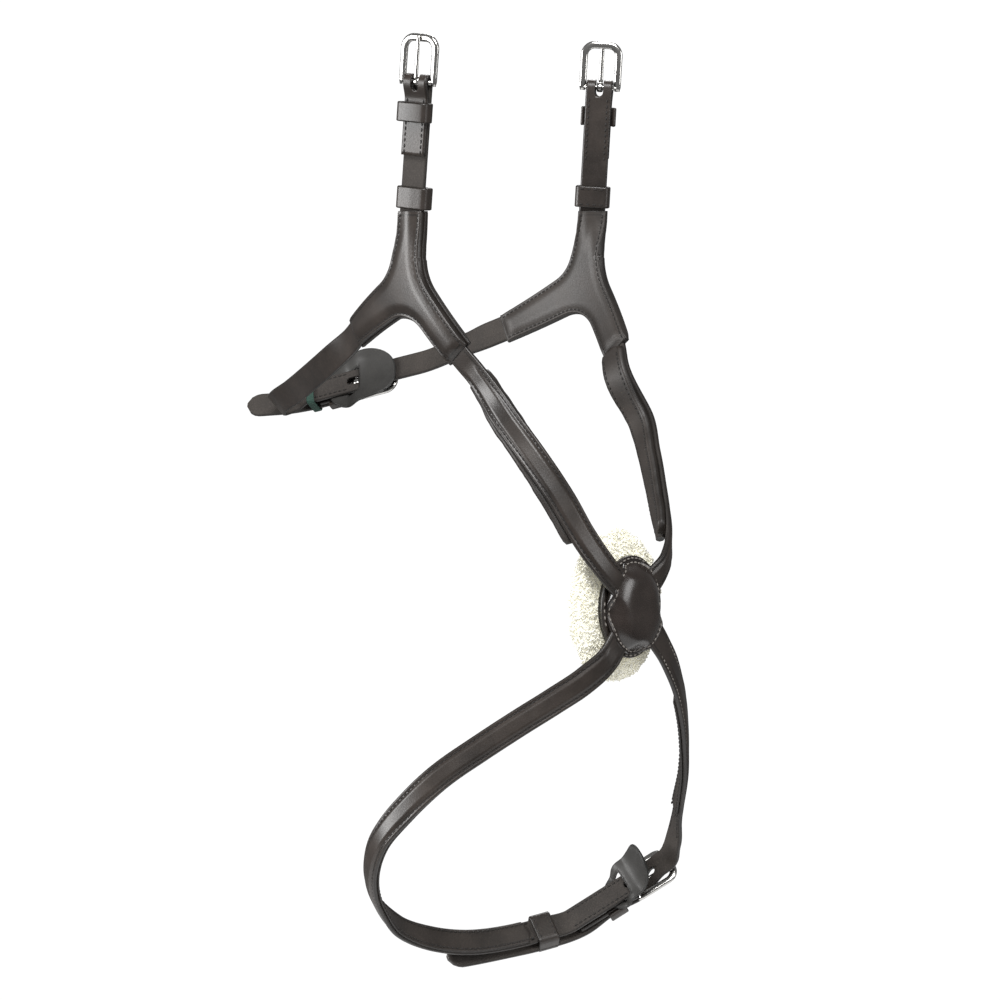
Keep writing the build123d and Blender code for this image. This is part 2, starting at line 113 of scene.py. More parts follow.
# seam paints shade in a darker line along the stitch groove; speckle is loose fibre on a flesh side
leatherLook = {
    "bridle": {"dark": (0.013, 0.0096, 0.0076), "light": (0.040, 0.0305, 0.0250), "rough": 0.36,
               "grain": 0.00007, "coat": 0.15, "speckle": 0.0, "seam": 0.0},
    "flesh": {"dark": (0.015, 0.0120, 0.0100), "light": (0.042, 0.0350, 0.0300), "rough": 0.72,
              "grain": 0.00010, "coat": 0.0, "speckle": 0.4, "seam": 0.0},
    "lining": {"dark": (0.014, 0.0108, 0.0088), "light": (0.038, 0.0300, 0.0250), "rough": 0.46,
               "grain": 0.00009, "coat": 0.05, "speckle": 0.12, "seam": 0.5},
    "glazed": {"dark": (0.012, 0.0086, 0.0070), "light": (0.032, 0.0235, 0.0200), "rough": 0.22,
               "grain": 0.00003, "coat": 0.45, "speckle": 0.0, "seam": 0.0},
    "guard": {"dark": (0.020, 0.0190, 0.0176), "light": (0.042, 0.0402, 0.0375), "rough": 0.46,
              "grain": 0.00006, "coat": 0.05, "speckle": 0.1, "seam": 0.0},
}
# sewn leather is bridle leather with deeper painted shade along the stitch groove
leatherLook["sewn"] = leatherLook["bridle"] | {"seam": 0.8}


# grained leather, with painted shade along the stitch groove; "rim" on the mesh is the distance from the
# piece's cut edge, in millimetres
def leatherMaterial(name, look):
    material, start = newMaterial(name)
    place = start.make("ShaderNodeTexCoord", out=3)
    cloud = start.make("ShaderNodeTexNoise", None,
                       {"Vector": place, "Scale": 38.0, "Detail": 5.0, "Roughness": 0.6})
    pores = start.make("ShaderNodeTexVoronoi", {"feature": "F1"}, {"Vector": place, "Scale": 1150.0})
    creases = start.make("ShaderNodeTexVoronoi", {"feature": "DISTANCE_TO_EDGE"},
                         {"Vector": place, "Scale": 620.0})
    fibres = start.make("ShaderNodeTexNoise", None, {"Vector": place, "Scale": 2600.0, "Detail": 3.0})
    rim = start.make("ShaderNodeAttribute", {"attribute_name": "rim"}, out=2)
    cloudMask = start.make("ShaderNodeValToRGB", {"stops": [(0.30, 0.0), (0.72, 1.0)]}, {0: cloud})
    speckleMask = start.make("ShaderNodeValToRGB", {"stops": [(0.50, 0.0), (0.72, 1.0)]}, {0: fibres})
    # the ramp darkens the burnished cut edge and paints shade in a line along the stitch groove, as deep as
    # seam
    sewn = 1.0 - look["seam"]
    stops = [(0.0, 0.40), (0.13, 1.0), (0.17, 1.0), (0.215, sewn), (0.245, sewn), (0.30, 1.0)]
    burnishAndSeamShade = start.make("ShaderNodeValToRGB", {"stops": stops}, {0: rim * 0.1})
    base = mixColours(start, cloudMask, (*look["dark"], 1), (*look["light"], 1))
    spotted = mixColours(start, speckleMask * look["speckle"], base, (*[3.2 * c for c in look["light"]], 1))
    colour = start.make("ShaderNodeMix", {"data_type": "RGBA", "blend_type": "MULTIPLY"},
                        {0: 0.85, 6: spotted, 7: burnishAndSeamShade}, 2)
    rough = look["rough"] + cloud * 0.14 + pores * 0.10 - 0.08
    height = creases * 0.6 + pores * 0.25 + fibres * 0.35
    finishShader(start, {"Base Color": colour, "Roughness": rough, "Coat Weight": look["coat"],
                         "Coat Roughness": 0.22}, height, look["grain"])
    return material


def steelMaterial():
    material, start = newMaterial("polishedSteel")
    place = start.make("ShaderNodeTexCoord", out=3)
    scratch = start.make("ShaderNodeTexNoise", None, {"Vector": place, "Scale": 900.0, "Detail": 4.0})
    smear = start.make("ShaderNodeTexNoise", None, {"Vector": place, "Scale": 120.0, "Detail": 3.0})
    colour = mixColours(start, smear, (0.50, 0.49, 0.47, 1), (0.68, 0.67, 0.65, 1))
    finishShader(start, {"Base Color": colour, "Metallic": 1.0, "Roughness": 0.10 + smear * 0.16},
                 scratch, 0.00001)
    return material


def threadMaterial(name, dark, light):
    material, start = newMaterial(name)
    place = start.make("ShaderNodeTexCoord", out=3)
    ply = start.make("ShaderNodeTexWave", None,
                     {"Vector": place, "Scale": 700.0, "Distortion": 2.0, "Detail": 1.0})
    colour = mixColours(start, ply, (*dark, 1), (*light, 1))
    finishShader(start, {"Base Color": colour, "Roughness": 0.6}, ply, 0.00005)
    return material


def fleeceMaterial():
    material, start = newMaterial("sheepskinWool")
    place = start.make("ShaderNodeTexCoord", out=3)
    curls = start.make("ShaderNodeTexNoise", None,
                       {"Vector": place, "Scale": 420.0, "Detail": 6.0, "Distortion": 1.2})
    tone = start.make("ShaderNodeTexNoise", None, {"Vector": place, "Scale": 60.0, "Detail": 3.0})
    stops = [(0.32, 0.0), (0.62, 1.0)]
    mask = start.make("ShaderNodeValToRGB", {"stops": stops}, {0: curls * 0.75 + tone * 0.25})
    colour = mixColours(start, mask, (0.90, 0.87, 0.72, 1), (0.985, 0.975, 0.90, 1))
    # the wool glows faintly with a cream emission: painted light that lifts it towards white
    finishShader(start, {"Base Color": colour, "Roughness": 0.9, "Sheen Weight": 0.3, "Sheen Roughness": 0.5,
                         "Emission Color": (1.0, 0.97, 0.84, 1), "Emission Strength": 0.09}, curls, 0.0002)
    return material


def elasticMaterial():
    material, start = newMaterial("greenElastic")
    place = start.make("ShaderNodeTexCoord", out=3)
    ribs = start.make("ShaderNodeTexWave", {"bands_direction": "DIAGONAL"}, {"Vector": place, "Scale": 520.0})
    tone = start.make("ShaderNodeTexNoise", None, {"Vector": place, "Scale": 300.0, "Detail": 3.0})
    colour = mixColours(start, ribs * 0.6 + tone * 0.4, (0.012, 0.034, 0.026, 1), (0.030, 0.085, 0.062, 1))
    finishShader(start, {"Base Color": colour, "Roughness": 0.7}, ribs, 0.0001)
    return material


bridle = leatherMaterial("bridleLeather", leatherLook["bridle"])
sewnLeather = leatherMaterial("sewnLeather", leatherLook["sewn"])
flesh = leatherMaterial("fleshSide", leatherLook["flesh"])
lining = leatherMaterial("liningLeather", leatherLook["lining"])
glazed = leatherMaterial("glazedLeather", leatherLook["glazed"])
guardSkin = leatherMaterial("guardLeather", leatherLook["guard"])
steel = steelMaterial()
threads = {"dark": threadMaterial("darkThread", (0.003, 0.002, 0.002), (0.016, 0.012, 0.010)),
           "pale": threadMaterial("paleThread", (0.130, 0.118, 0.104), (0.300, 0.275, 0.250))}
wool = fleeceMaterial()
elastic = elasticMaterial()
print("stage: materials")


# one object from points in millimetres; slots give each face its material
def addMesh(name, points, faces, slots, materials, rims=None):
    mesh = bpy.data.meshes.new(name)
    mesh.from_pydata([p * mm for p in points], [], faces)
    for material in materials:
        mesh.materials.append(material)
    mesh.polygons.foreach_set("material_index", slots)
    mesh.polygons.foreach_set("use_smooth", [True] * len(faces))
    attribute = mesh.attributes.new("rim", "FLOAT", "POINT")
    attribute.data.foreach_set("value", rims or [5.0] * len(points))
    mesh.update()
    piece = bpy.data.objects.new(name, mesh)
    bpy.context.scene.collection.objects.link(piece)
    return piece


# a plain mesh from a piece with live modifiers
def bakeModifiers(piece):
    graph = bpy.context.evaluated_depsgraph_get()
    mesh = bpy.data.meshes.new_from_object(piece.evaluated_get(graph), depsgraph=graph)
    piece.modifiers.clear()
    piece.data = mesh
    return piece


def settle(piece, slotName, body, *nodes):
    if nodes:
        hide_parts(*nodes)
    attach(piece, body)
    return piece


strapWidth = 16.0
strapThick = 2.8


# the line of a strap, smooth through its stations (point, outward), as (point, along, across, outward)
def strapLine(stations, step=2.5):
    points = [Vector(s[0]) for s in stations]
    facings = [Vector(s[1]).normalized() for s in stations]
    spans = [(q - p).length for p, q in zip(points, points[1:])]
    slopes = [(points[1] - points[0]) / spans[0]]
    for i in range(1, len(points) - 1):
        before, after = spans[i - 1], spans[i]
        bend = (points[i] - points[i - 1]) * (after / before) + (points[i + 1] - points[i]) * (before / after)
        slopes.append(bend / (before + after))
    slopes.append((points[-1] - points[-2]) / spans[-1])
    line = []
    for i, span in enumerate(spans):
        count = max(2, round(span / step))
        for k in range(count + (i == len(spans) - 1)):
            t = k / count
            point = (points[i] * (2 * t**3 - 3 * t**2 + 1) + slopes[i] * (span * (t**3 - 2 * t**2 + t))
                     + points[i + 1] * (3 * t**2 - 2 * t**3) + slopes[i + 1] * (span * (t**3 - t**2)))
            along = (points[i] * (6 * t**2 - 6 * t) + slopes[i] * (span * (3 * t**2 - 4 * t + 1))
                     + points[i + 1] * (6 * t - 6 * t**2) + slopes[i + 1] * (span * (3 * t**2 - 2 * t)))
            along.normalize()
            ease = t * t * (3 - 2 * t)
            facing = facings[i].lerp(facings[i + 1], ease)
            across = along.cross(facing).normalized()
            line.append((point, along, across, across.cross(along).normalized()))
    return line


def distances(line):
    run = [0.0]
    for a, b in zip(line, line[1:]):
        run.append(run[-1] + (b[0] - a[0]).length)
    return run


# height of a strap's face at a share of its half width: a raised middle, a groove where it is sewn
def strapFace(share, half, look):
    reach = abs(share) * half
    inside = min(1.0, max(0.0, (half - look["seam"] - 0.3 - reach) / 2.2))
    height = look["thick"] / 2 + look["raise"] * inside * inside * (3 - 2 * inside)
    return height - look["groove"] * math.exp(-(((half - look["seam"] - reach) / 0.55) ** 2))


plainStrap = {"thick": strapThick, "raise": 0.0, "groove": 0.0, "seam": 2.2, "width": strapWidth, "edge": 0.8}
raisedStrap = plainStrap | {"raise": 1.0, "groove": 0.45, "seam": 2.3}


# a solid strap along a line, with rounded edges; tips are the lengths over which its two ends narrow, and
# raised the stretches, from and to, with a raised middle
def makeStrap(name, line, look, materials, closed=False, tips=(0, 0), offset=0.0, wave=0.0, raised=()):
    run = distances(line)
    shares = [-1 + k / 12 for k in range(25)]
    edge = look["edge"]
    low = look["thick"] / 2 - edge
    points, rims, rows = [], [], []
    for (point, along, across, outward), dist in zip(line, run):
        half = look["width"] / 2
        if wave:
            half += wave * noise.noise(point * 0.11) + wave * 0.5 * noise.noise(point * 0.31)
        narrow = 1.0
        for tip, away in zip(tips, (dist, run[-1] - dist)):
            if tip and away < tip:
                narrow = min(narrow, math.sqrt(max(0.03, 1 - (1 - away / tip) ** 2)))
        shown = dict(look)
        if raised:
            fade = min(1.0, max(0.0, *[min(dist - start, end - dist) / 8 for start, end in raised]))
            shown["raise"] = look["raise"] * fade
            shown["groove"] = look["groove"] * fade
        upper = []
        for share in shares:
            reach = abs(share) * half
            near = max(0.0, reach - (half - edge)) / edge
            shape = math.sqrt(max(0.0, 1 - near * near))
            high = strapFace(share, half, shown)
            upper.append((share * half * narrow, low + (high - low) * shape, half - reach))
        loop = list(upper)
        for w, h, r in reversed(upper):
            near = max(0.0, abs(w / narrow) - (half - edge)) / edge
            loop.append((w, -(low + edge * math.sqrt(max(0.0, 1 - near ** 2))), r))
        rows.append(len(points))
        for w, h, r in loop:
            points.append(point + across * w + outward * (h + offset))
            rims.append(r)
    size = len(loop)
    top = len(shares)
    faces, slots = [], []
    pairs = list(zip(rows, rows[1:])) + ([(rows[-1], rows[0])] if closed else [])
    for first, second in pairs:
        for k in range(size):
            n = (k + 1) % size
            faces.append((first + k, first + n, second + n, second + k))
            slots.append(1 if top <= k < size - 1 else 0)
    if not closed:
        for k in range(top - 1):
            a, b = rows[0], rows[-1]
            faces.append((a + k, a + size - 1 - k, a + size - 2 - k, a + k + 1))
            faces.append((b + k, b + k + 1, b + size - 2 - k, b + size - 1 - k))
            slots += [0, 0]
    return orient(addMesh(name, points, faces, slots, materials, rims))


# turns the faces outwards
def orient(piece):
    form = bmesh.new()
    form.from_mesh(piece.data)
    bmesh.ops.remove_doubles(form, verts=form.verts, dist=1e-6)
    bmesh.ops.recalc_face_normals(form, faces=form.faces)
    form.to_mesh(piece.data)
    form.free()
    return piece


# a rounded bar along points; halfSizes is (half width, half height) or a list of them; power 2 is an ellipse
def sweep(name, path, halfSizes, sideways, material, closed=False, power=2.6, around=20):
    points, rows, faces = [], [], []
    count = len(path)
    for i, point in enumerate(path):
        if closed:
            along = (path[(i + 1) % count] - path[i - 1]).normalized()
        else:
            along = (path[min(i + 1, count - 1)] - path[max(i - 1, 0)]).normalized()
        up = sideways[i] if isinstance(sideways, list) else sideways
        flat = along.cross(up).normalized()
        rows.append(len(points))
        wide, high = halfSizes[i] if isinstance(halfSizes, list) else halfSizes
        for k in range(around):
            turn = 2 * math.pi * k / around
            c, s = math.cos(turn), math.sin(turn)
            x = math.copysign(abs(c) ** (2 / power), c)
            y = math.copysign(abs(s) ** (2 / power), s)
            points.append(point + flat * (x * wide) + up * (y * high))
    pairs = list(zip(rows, rows[1:])) + ([(rows[-1], rows[0])] if closed else [])
    for first, second in pairs:
        for k in range(around):
            n = (k + 1) % around
            faces.append((first + k, first + n, second + n, second + k))
    if not closed:
        faces.append(tuple(range(rows[0], rows[0] + around)))
        faces.append(tuple(range(rows[-1], rows[-1] + around)))
    return orient(addMesh(name, points, faces, [0] * len(faces), [material]))


def joinPieces(name, pieces):
    bpy.ops.object.select_all(action="DESELECT")
    for piece in pieces:
        piece.select_set(True)
    bpy.context.view_layer.objects.active = pieces[0]
    bpy.ops.object.join()
    pieces[0].name = name
    return pieces[0]


# cuts slots and holes out of a strap
def cutHoles(piece, cutters):
    for cutter in cutters:
        cut = piece.modifiers.new("cut", "BOOLEAN")
        cut.operation = "DIFFERENCE"
        cut.solver = "EXACT"
        cut.object = cutter
    bakeModifiers(piece)
    for cutter in cutters:
        bpy.data.objects.remove(cutter)
    return piece


# a slot-shaped cutter: long and wide in its face, deep along its axis
def slotCutter(centre, lengthwise, axis, length, width, depth, material):
    sideways = axis.cross(lengthwise).normalized()
    ring = []
    for end in (1, -1):
        for k in range(9):
            turn = math.pi * (k / 8 - 0.5)
            ring.append(centre + lengthwise * (end * ((length - width) / 2 + width / 2 * math.cos(turn)))
                        + sideways * (end * width / 2 * math.sin(turn)))
    count = len(ring)
    points = [p + axis * depth for p in ring] + [p - axis * depth for p in ring]
    faces = [(k, (k + 1) % count, count + (k + 1) % count, count + k) for k in range(count)]
    faces += [tuple(range(count)), tuple(range(2 * count - 1, count - 1, -1))]
    return orient(addMesh("cutter", points, faces, [0] * len(faces), [material]))


# distance of a flat point from an outline
def outlineDistance(x, y, outline):
    best = 1e9
    for (ax, ay), (bx, by) in zip(outline, outline[1:] + outline[:1]):
        dx, dy = bx - ax, by - ay
        t = max(0.0, min(1.0, ((x - ax) * dx + (y - ay) * dy) / (dx * dx + dy * dy)))
        best = min(best, (ax + dx * t - x) ** 2 + (ay + dy * t - y) ** 2)
    return math.sqrt(best)


def insideOutline(x, y, outline):
    inside = False
    for (ax, ay), (bx, by) in zip(outline, outline[1:] + outline[:1]):
        if (ay > y) != (by > y) and x < (bx - ax) * (y - ay) / (by - ay) + ax:
            inside = not inside
    return inside


# evenly spaced points round an outline
def spaced(outline, step):
    result = []
    for (ax, ay), (bx, by) in zip(outline, outline[1:] + outline[:1]):
        length = math.hypot(bx - ax, by - ay)
        count = max(1, round(length / step))
        result += [(ax + (bx - ax) * k / count, ay + (by - ay) * k / count) for k in range(count)]
    return result


# a piece of leather with any outline: place(x, y, h) puts it in space, and upper and lower give the heights
# of its faces from the distance to the cut edge
def makeShape(name, outline, place, upper, lower, materials, holes=(), step=1.1):
    rim = spaced(outline, step)
    edges = [(k, (k + 1) % len(rim)) for k in range(len(rim))]
    flat = list(rim)
    for hole in holes:
        ring = spaced(hole, step)
        base = len(flat)
        edges += [(base + k, base + (k + 1) % len(ring)) for k in range(len(ring))]
        flat += ring
    allRims = [outline] + list(holes)
    onRims = len(flat)
    count = len(rim)
    signed = sum(ax * by - bx * ay for (ax, ay), (bx, by) in zip(rim, rim[1:] + rim[:1]))
    turn = 1 if signed > 0 else -1
    for depth in (0.35, 0.8, 1.4, 2.0, 2.6, 3.3):
        for k in range(count):
            (ax, ay), (bx, by) = rim[k - 1], rim[(k + 1) % count]
            size = math.hypot(bx - ax, by - ay)
            x = rim[k][0] - turn * (by - ay) / size * depth
            y = rim[k][1] + turn * (bx - ax) / size * depth
            if insideOutline(x, y, outline) and outlineDistance(x, y, outline) > depth * 0.93:
                flat.append((x, y))
    lowX, highX = min(p[0] for p in rim), max(p[0] for p in rim)
    lowY, highY = min(p[1] for p in rim), max(p[1] for p in rim)
    grid = step * 1.35
    row = 0
    y = lowY
    while y < highY:
        x = lowX + (row % 2) * grid / 2
        while x < highX:
            if insideOutline(x, y, outline) and outlineDistance(x, y, outline) > 4.0:
                flat.append((x, y))
            x += grid
        y += grid * 0.866
        row += 1
    kept = []
    for i, (x, y) in enumerate(flat):
        blocked = any(insideOutline(x, y, h) or outlineDistance(x, y, h) < 0.3 for h in holes)
        if i < onRims or not blocked:
            kept.append(Vector((x, y)))
    verts, _, tris, _, _, _ = delaunay_2d_cdt(kept, edges, [], 0, 1e-5)
    tris = [t for t in tris if insideOutline(*centreOf(verts, t), outline)
            and not any(insideOutline(*centreOf(verts, t), h) for h in holes)]
    used = sorted({v for t in tris for v in t})
    index = {v: i for i, v in enumerate(used)}
    depths = [min(outlineDistance(verts[v][0], verts[v][1], r) for r in allRims) for v in used]
    points = []
    for face in (upper, lower):
        points += [place(*verts[v], face(d, *verts[v])) for v, d in zip(used, depths)]
    total = len(used)
    faces = [tuple(index[v] for v in t) for t in tris]
    below = [tuple(total + index[v] for v in reversed(t)) for t in tris]
    seen = {}
    for face in faces:
        for a, b in zip(face, face[1:] + face[:1]):
            seen[(a, b)] = True
    walls = [(a, b, total + b, total + a) for a, b in seen if (b, a) not in seen]
    slots = [0] * len(faces) + [1] * len(below) + [0] * len(walls)
    return orient(addMesh(name, points, faces + below + walls, slots, materials, depths + depths))


def centreOf(verts, tri):
    return sum(verts[v][0] for v in tri) / len(tri), sum(verts[v][1] for v in tri) / len(tri)


# a buckle's bar and its directions; a runs along the strap, n outwards, w across
class BucklePlace:
    def __init__(self, bar, along, outward):
        self.bar = Vector(bar)
        self.along = Vector(along).normalized()
        self.across = self.along.cross(Vector(outward)).normalized()
        self.outward = self.across.cross(self.along).normalized()

    def at(self, a, n, w=0.0):
        return self.bar + self.along * a + self.outward * n + self.across * w

    def station(self, a, n, lift=0.0):
        return self.at(a, n) + Vector((0, 0, lift)), self.outward


barMiddle = 3.1      # from the bar to the middle of the leather folded round it
# ease is the length over which the flap comes down to its place behind the bar
fold = {"steps": 12, "slot": 5.2, "slotLength": 11.4, "slotMiddle": 0.2, "slotDepth": 9.0, "ease": 11,
        "flapMiddle": -0.2}


# the strap's line from length before the bar, round it and back over flap, on the outside
def foldLine(buckle, length, flap, lift):
    spots = [(-length * (1 - k / 14), -barMiddle) for k in range(14)]
    for k in range(fold["steps"] + 1):
        turn = math.pi * k / fold["steps"]
        spots.append((barMiddle * math.sin(turn), -barMiddle * math.cos(turn)))
    flapMiddle = fold["flapMiddle"] + lift
    for k in range(1, 9):
        t = k / 8
        ease = t * t * (3 - 2 * t)
        spots.append((-fold["ease"] * t, barMiddle + (flapMiddle - barMiddle) * ease))
    spots += [(-fold["ease"] - (flap - fold["ease"]) * k / 14, flapMiddle) for k in range(1, 15)]
    line = []
    for i, (a, n) in enumerate(spots):
        before, after = spots[max(i - 1, 0)], spots[min(i + 1, len(spots) - 1)]
        along = (buckle.along * (after[0] - before[0]) + buckle.outward * (after[1] - before[1])).normalized()
        across = buckle.across
        line.append((buckle.at(a, n), along, across, across.cross(along).normalized()))
    return line


def foldSlot(buckle):
    return slotCutter(buckle.at(fold["slotMiddle"], 0), buckle.along, buckle.outward, fold["slotLength"],
                      fold["slot"], fold["slotDepth"], bridle)


buckleSize = {"leg": 10.6, "legHalf": 2.15, "foot": -2.2, "footTip": 0.72, "corner": 19.1,
              "cornerRadius": 6.4, "cornerMiddle": 4.2, "endHalf": 2.3, "thickHalf": 1.5, "bar": 1.5,
              "barReach": 10.3}


def makeBuckle(name, buckle, body):
    size = buckleSize
    flat = [(-size["leg"], size["foot"] + (size["corner"] - size["foot"]) * k / 8) for k in range(9)]
    for k in range(1, 11):
        turn = math.pi / 2 * k / 10
        flat.append((-size["cornerMiddle"] - size["cornerRadius"] * math.cos(turn),
                     size["corner"] + size["cornerRadius"] * math.sin(turn)))
    flat += [(-w, a) for w, a in reversed(flat)]
    path = [buckle.at(a, 0, w) for w, a in flat]
    halves = []
    for w, a in flat:
        share = max(0.0, min(1.0, (a - 14) / 12))
        tip = min(1.0, size["footTip"] + 0.28 * (a - size["foot"]) / 1.2)
        wide = size["legHalf"] + (size["endHalf"] - size["legHalf"]) * share
        halves.append((wide * tip, size["thickHalf"] * tip))
    rim = sweep(name, path, halves, buckle.outward, steel, power=2.5)
    barPath = [buckle.at(0, 0, w) for w in (-size["barReach"], -6, 0, 6, size["barReach"])]
    bar = sweep(name + "Bar", barPath, (size["bar"], size["bar"]), buckle.outward, steel, power=2.0)
    return settle(joinPieces(name, [rim, bar]), "stainless_steel", body, name)


tongueSize = {"eye": 2.35, "eyeHalf": (1.7, 0.72), "half": (1.25, 0.9), "high": 2.65, "reach": 27.0}


def makeTongue(name, buckle, body):
    size = tongueSize
    ring, ups = [], []
    for k in range(24):
        turn = 2 * math.pi * k / 24
        radial = buckle.along * math.cos(turn) + buckle.outward * math.sin(turn)
        ring.append(buckle.bar + radial * size["eye"])
        ups.append(radial)
    eye = sweep(name, ring, size["eyeHalf"], ups, steel, closed=True, power=3)
    high = size["high"]
    spots = [(0.4, size["eye"], 1.0), (2.5, 2.6, 1.05), (6, high, 1.0), (14, high, 0.95), (21, high, 0.9),
             (24.9, high, 0.85), (26.4, 2.45, 0.75), (size["reach"], 2.2, 0.5)]
    halves = [(size["half"][0] * s, size["half"][1] * s) for a, n, s in spots]
    path = [buckle.at(a, n) for a, n, s in spots]
    shank = sweep(name + "Shank", path, halves, buckle.outward, steel, power=2.2)
    return settle(joinPieces(name, [eye, shank]), "stainless_steel", body, name)


keeperLook = {"raise": 0.0, "groove": 0.0, "seam": 1.6, "edge": 0.6}


# a leather loop round a strap, in the plane across it; low and high are its inside faces
def makeKeeper(name, point, across, outward, low, high, length, body, wall=1.7, width=17.6, materials=None,
               slotName="bridle_leather"):
    along = outward.cross(across).normalized()
    look = keeperLook | {"width": length, "thick": wall}
    halfW, halfN = (width + wall) / 2, (high - low + wall) / 2
    middle = point + outward * ((high + low) / 2)
    corner = min(2.2, halfN * 0.6)
    spots = []
    for sx, sy in ((1, 1), (-1, 1), (-1, -1), (1, -1)):
        for k in range(7):
            turn = math.atan2(sy, sx) - math.pi / 4 + math.pi / 2 * k / 6
            spots.append((sx * (halfW - corner) + corner * math.cos(turn),
                          sy * (halfN - corner) + corner * math.sin(turn)))
    filled = spaced(spots, 1.6)
    line = []
    for i, (w, n) in enumerate(filled):
        before, after = filled[i - 1], filled[(i + 1) % len(filled)]
        bulge = 0.35 * max(0.0, 1 - abs(w) / halfW) * (1 if n > 0 else -0.5)
        travel = (across * (after[0] - before[0]) + outward * (after[1] - before[1])).normalized()
        facing = travel.cross(along).normalized()
        if facing.dot(across * w + outward * n) < 0:
            facing = -facing
        sideways = travel.cross(facing).normalized()
        line.append((middle + across * w + outward * (n + bulge), travel, sideways, facing))
    piece = makeStrap(name, line, look, materials or [bridle, flesh], closed=True)
    return settle(piece, slotName, body, name)


# a bridge over the outside of a strap, its feet under the flap
def makeFixedKeeper(name, buckle, a, base, room, length, body, wall=1.7, width=17.6):
    look = keeperLook | {"width": length, "thick": wall}
    halfW, top = (width + wall) / 2, base + room + wall / 2
    corner = 2.4
    spots = [(halfW, base), (halfW, (base + top - corner) / 2), (halfW, top - corner)]
    for k in range(1, 7):
        turn = math.pi / 2 * k / 6
        spots.append((halfW - corner + corner * math.cos(turn), top - corner + corner * math.sin(turn)))
    spots += [(6, top + 0.1), (3, top + 0.2)]
    spots += [(0, top + 0.25)] + [(-w, n) for w, n in reversed(spots)]
    line = []
    for i, (w, n) in enumerate(spots):
        before, after = spots[max(i - 1, 0)], spots[min(i + 1, len(spots) - 1)]
        travel = buckle.across * (after[0] - before[0]) + buckle.outward * (after[1] - before[1])
        travel.normalize()
        facing = travel.cross(buckle.along).normalized()
        if facing.dot(buckle.across * w + buckle.outward * (n - base + 2)) < 0:
            facing = -facing
        line.append((buckle.at(a, n, w), travel, travel.cross(facing).normalized(), facing))
    return settle(makeStrap(name, line, look, [bridle, flesh]), "bridle_leather", body, name)


# rows of stitches, gathered for each body and thread and sewn at the end
stitchRows = {}


def sewRow(body, points, colour="dark"):
    stitchRows.setdefault((body, colour), []).append([Vector(p) for p in points])


foldSeam = 5.6      # from the middle of a folded strap to its rows of stitches


# sews a folded end down along both edges; each row is (height, places along the strap)
def sewFold(buckle, *rows):
    for w in (-foldSeam, foldSeam):
        for n, places in rows:
            sewRow("noseband", [buckle.at(a, n, w) for a in places])


# rows along both edges of a strap, on its face (side 1) or back (side -1)
def sewStrap(body, line, look, start, end, side=1, offset=0.0, colour="dark"):
    run = distances(line)
    seam = look["seam"]
    for edge in (-1, 1):
        row = []
        for (point, along, across, outward), dist in zip(line, run):
            if start <= dist <= end:
                half = look["width"] / 2
                high = strapFace((half - seam) / half, half, look) if side > 0 else look["thick"] / 2
                row.append(point + across * (edge * (half - seam)) + outward * (side * high + offset))
        if len(row) > 1:
            sewRow(body, row, colour)


stitchSize = {"spacing": 3.2, "length": 1.25, "radius": 0.55}


# instances one stitch along every row
def stitchTree():
    tree = bpy.data.node_groups.new("stitches", "GeometryNodeTree")
    tree.interface.new_socket("Geometry", in_out="INPUT", socket_type="NodeSocketGeometry")
    for label in ("Spacing", "Length", "Radius"):
        tree.interface.new_socket(label, in_out="INPUT", socket_type="NodeSocketFloat")
    tree.interface.new_socket("Thread", in_out="INPUT", socket_type="NodeSocketMaterial")
    tree.interface.new_socket("Geometry", in_out="OUTPUT", socket_type="NodeSocketGeometry")
    start = Socket(tree)
    given = tree.nodes.new("NodeGroupInput")
    wanted = {s.name: Socket(tree, s) for s in given.outputs}
    curves = start.make("GeometryNodeMeshToCurve", None, {"Mesh": wanted["Geometry"]})
    dots = tree.nodes.new("GeometryNodeCurveToPoints")
    dots.mode = "LENGTH"
    tree.links.new(curves.link, dots.inputs["Curve"])
    tree.links.new(wanted["Spacing"].link, dots.inputs["Length"])
    ball = start.make("GeometryNodeMeshUVSphere", None, {"Segments": 6, "Rings": 5, "Radius": 1.0})
    size = start.make("ShaderNodeCombineXYZ", None,
                      {"X": wanted["Radius"], "Y": wanted["Radius"], "Z": wanted["Length"]})
    stitch = start.make("GeometryNodeTransform", None, {"Geometry": ball, "Scale": size})
    heading = Socket(tree, dots.outputs["Tangent"])
    turned = start.make("FunctionNodeAlignRotationToVector", {"axis": "Z"}, {"Vector": heading})
    spots = Socket(tree, dots.outputs["Points"])
    many = start.make("GeometryNodeInstanceOnPoints", None,
                      {"Points": spots, "Instance": stitch, "Rotation": turned})
    solid = start.make("GeometryNodeRealizeInstances", None, {"Geometry": many})
    painted = start.make("GeometryNodeSetMaterial", None, {"Geometry": solid, "Material": wanted["Thread"]})
    smooth = start.make("GeometryNodeSetShadeSmooth", None, {0: painted})
    ending = tree.nodes.new("NodeGroupOutput")
    tree.links.new(smooth.link, ending.inputs["Geometry"])
    return tree


# the identifiers of a tree's inputs, by their names
def inputsOf(tree):
    return {s.name: s.identifier for s in tree.interface.items_tree if s.in_out == "INPUT"}


def sewAll():
    tree = stitchTree()
    sockets = inputsOf(tree)
    for (body, colour), rows in sorted(stitchRows.items()):
        points, edges = [], []
        for row in rows:
            base = len(points)
            points += row
            edges += [(base + k, base + k + 1) for k in range(len(row) - 1)]
        mesh = bpy.data.meshes.new("rows")
        mesh.from_pydata([p * mm for p in points], edges, [])
        piece = bpy.data.objects.new(body + "_" + colour + "_stitches", mesh)
        bpy.context.scene.collection.objects.link(piece)
        sewing = piece.modifiers.new("sewing", "NODES")
        sewing.node_group = tree
        sewing[sockets["Spacing"]] = stitchSize["spacing"] * mm
        sewing[sockets["Length"]] = stitchSize["length"] * mm
        sewing[sockets["Radius"]] = stitchSize["radius"] * mm
        sewing[sockets["Thread"]] = threads[colour]
        bakeModifiers(piece)
        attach(piece, body)


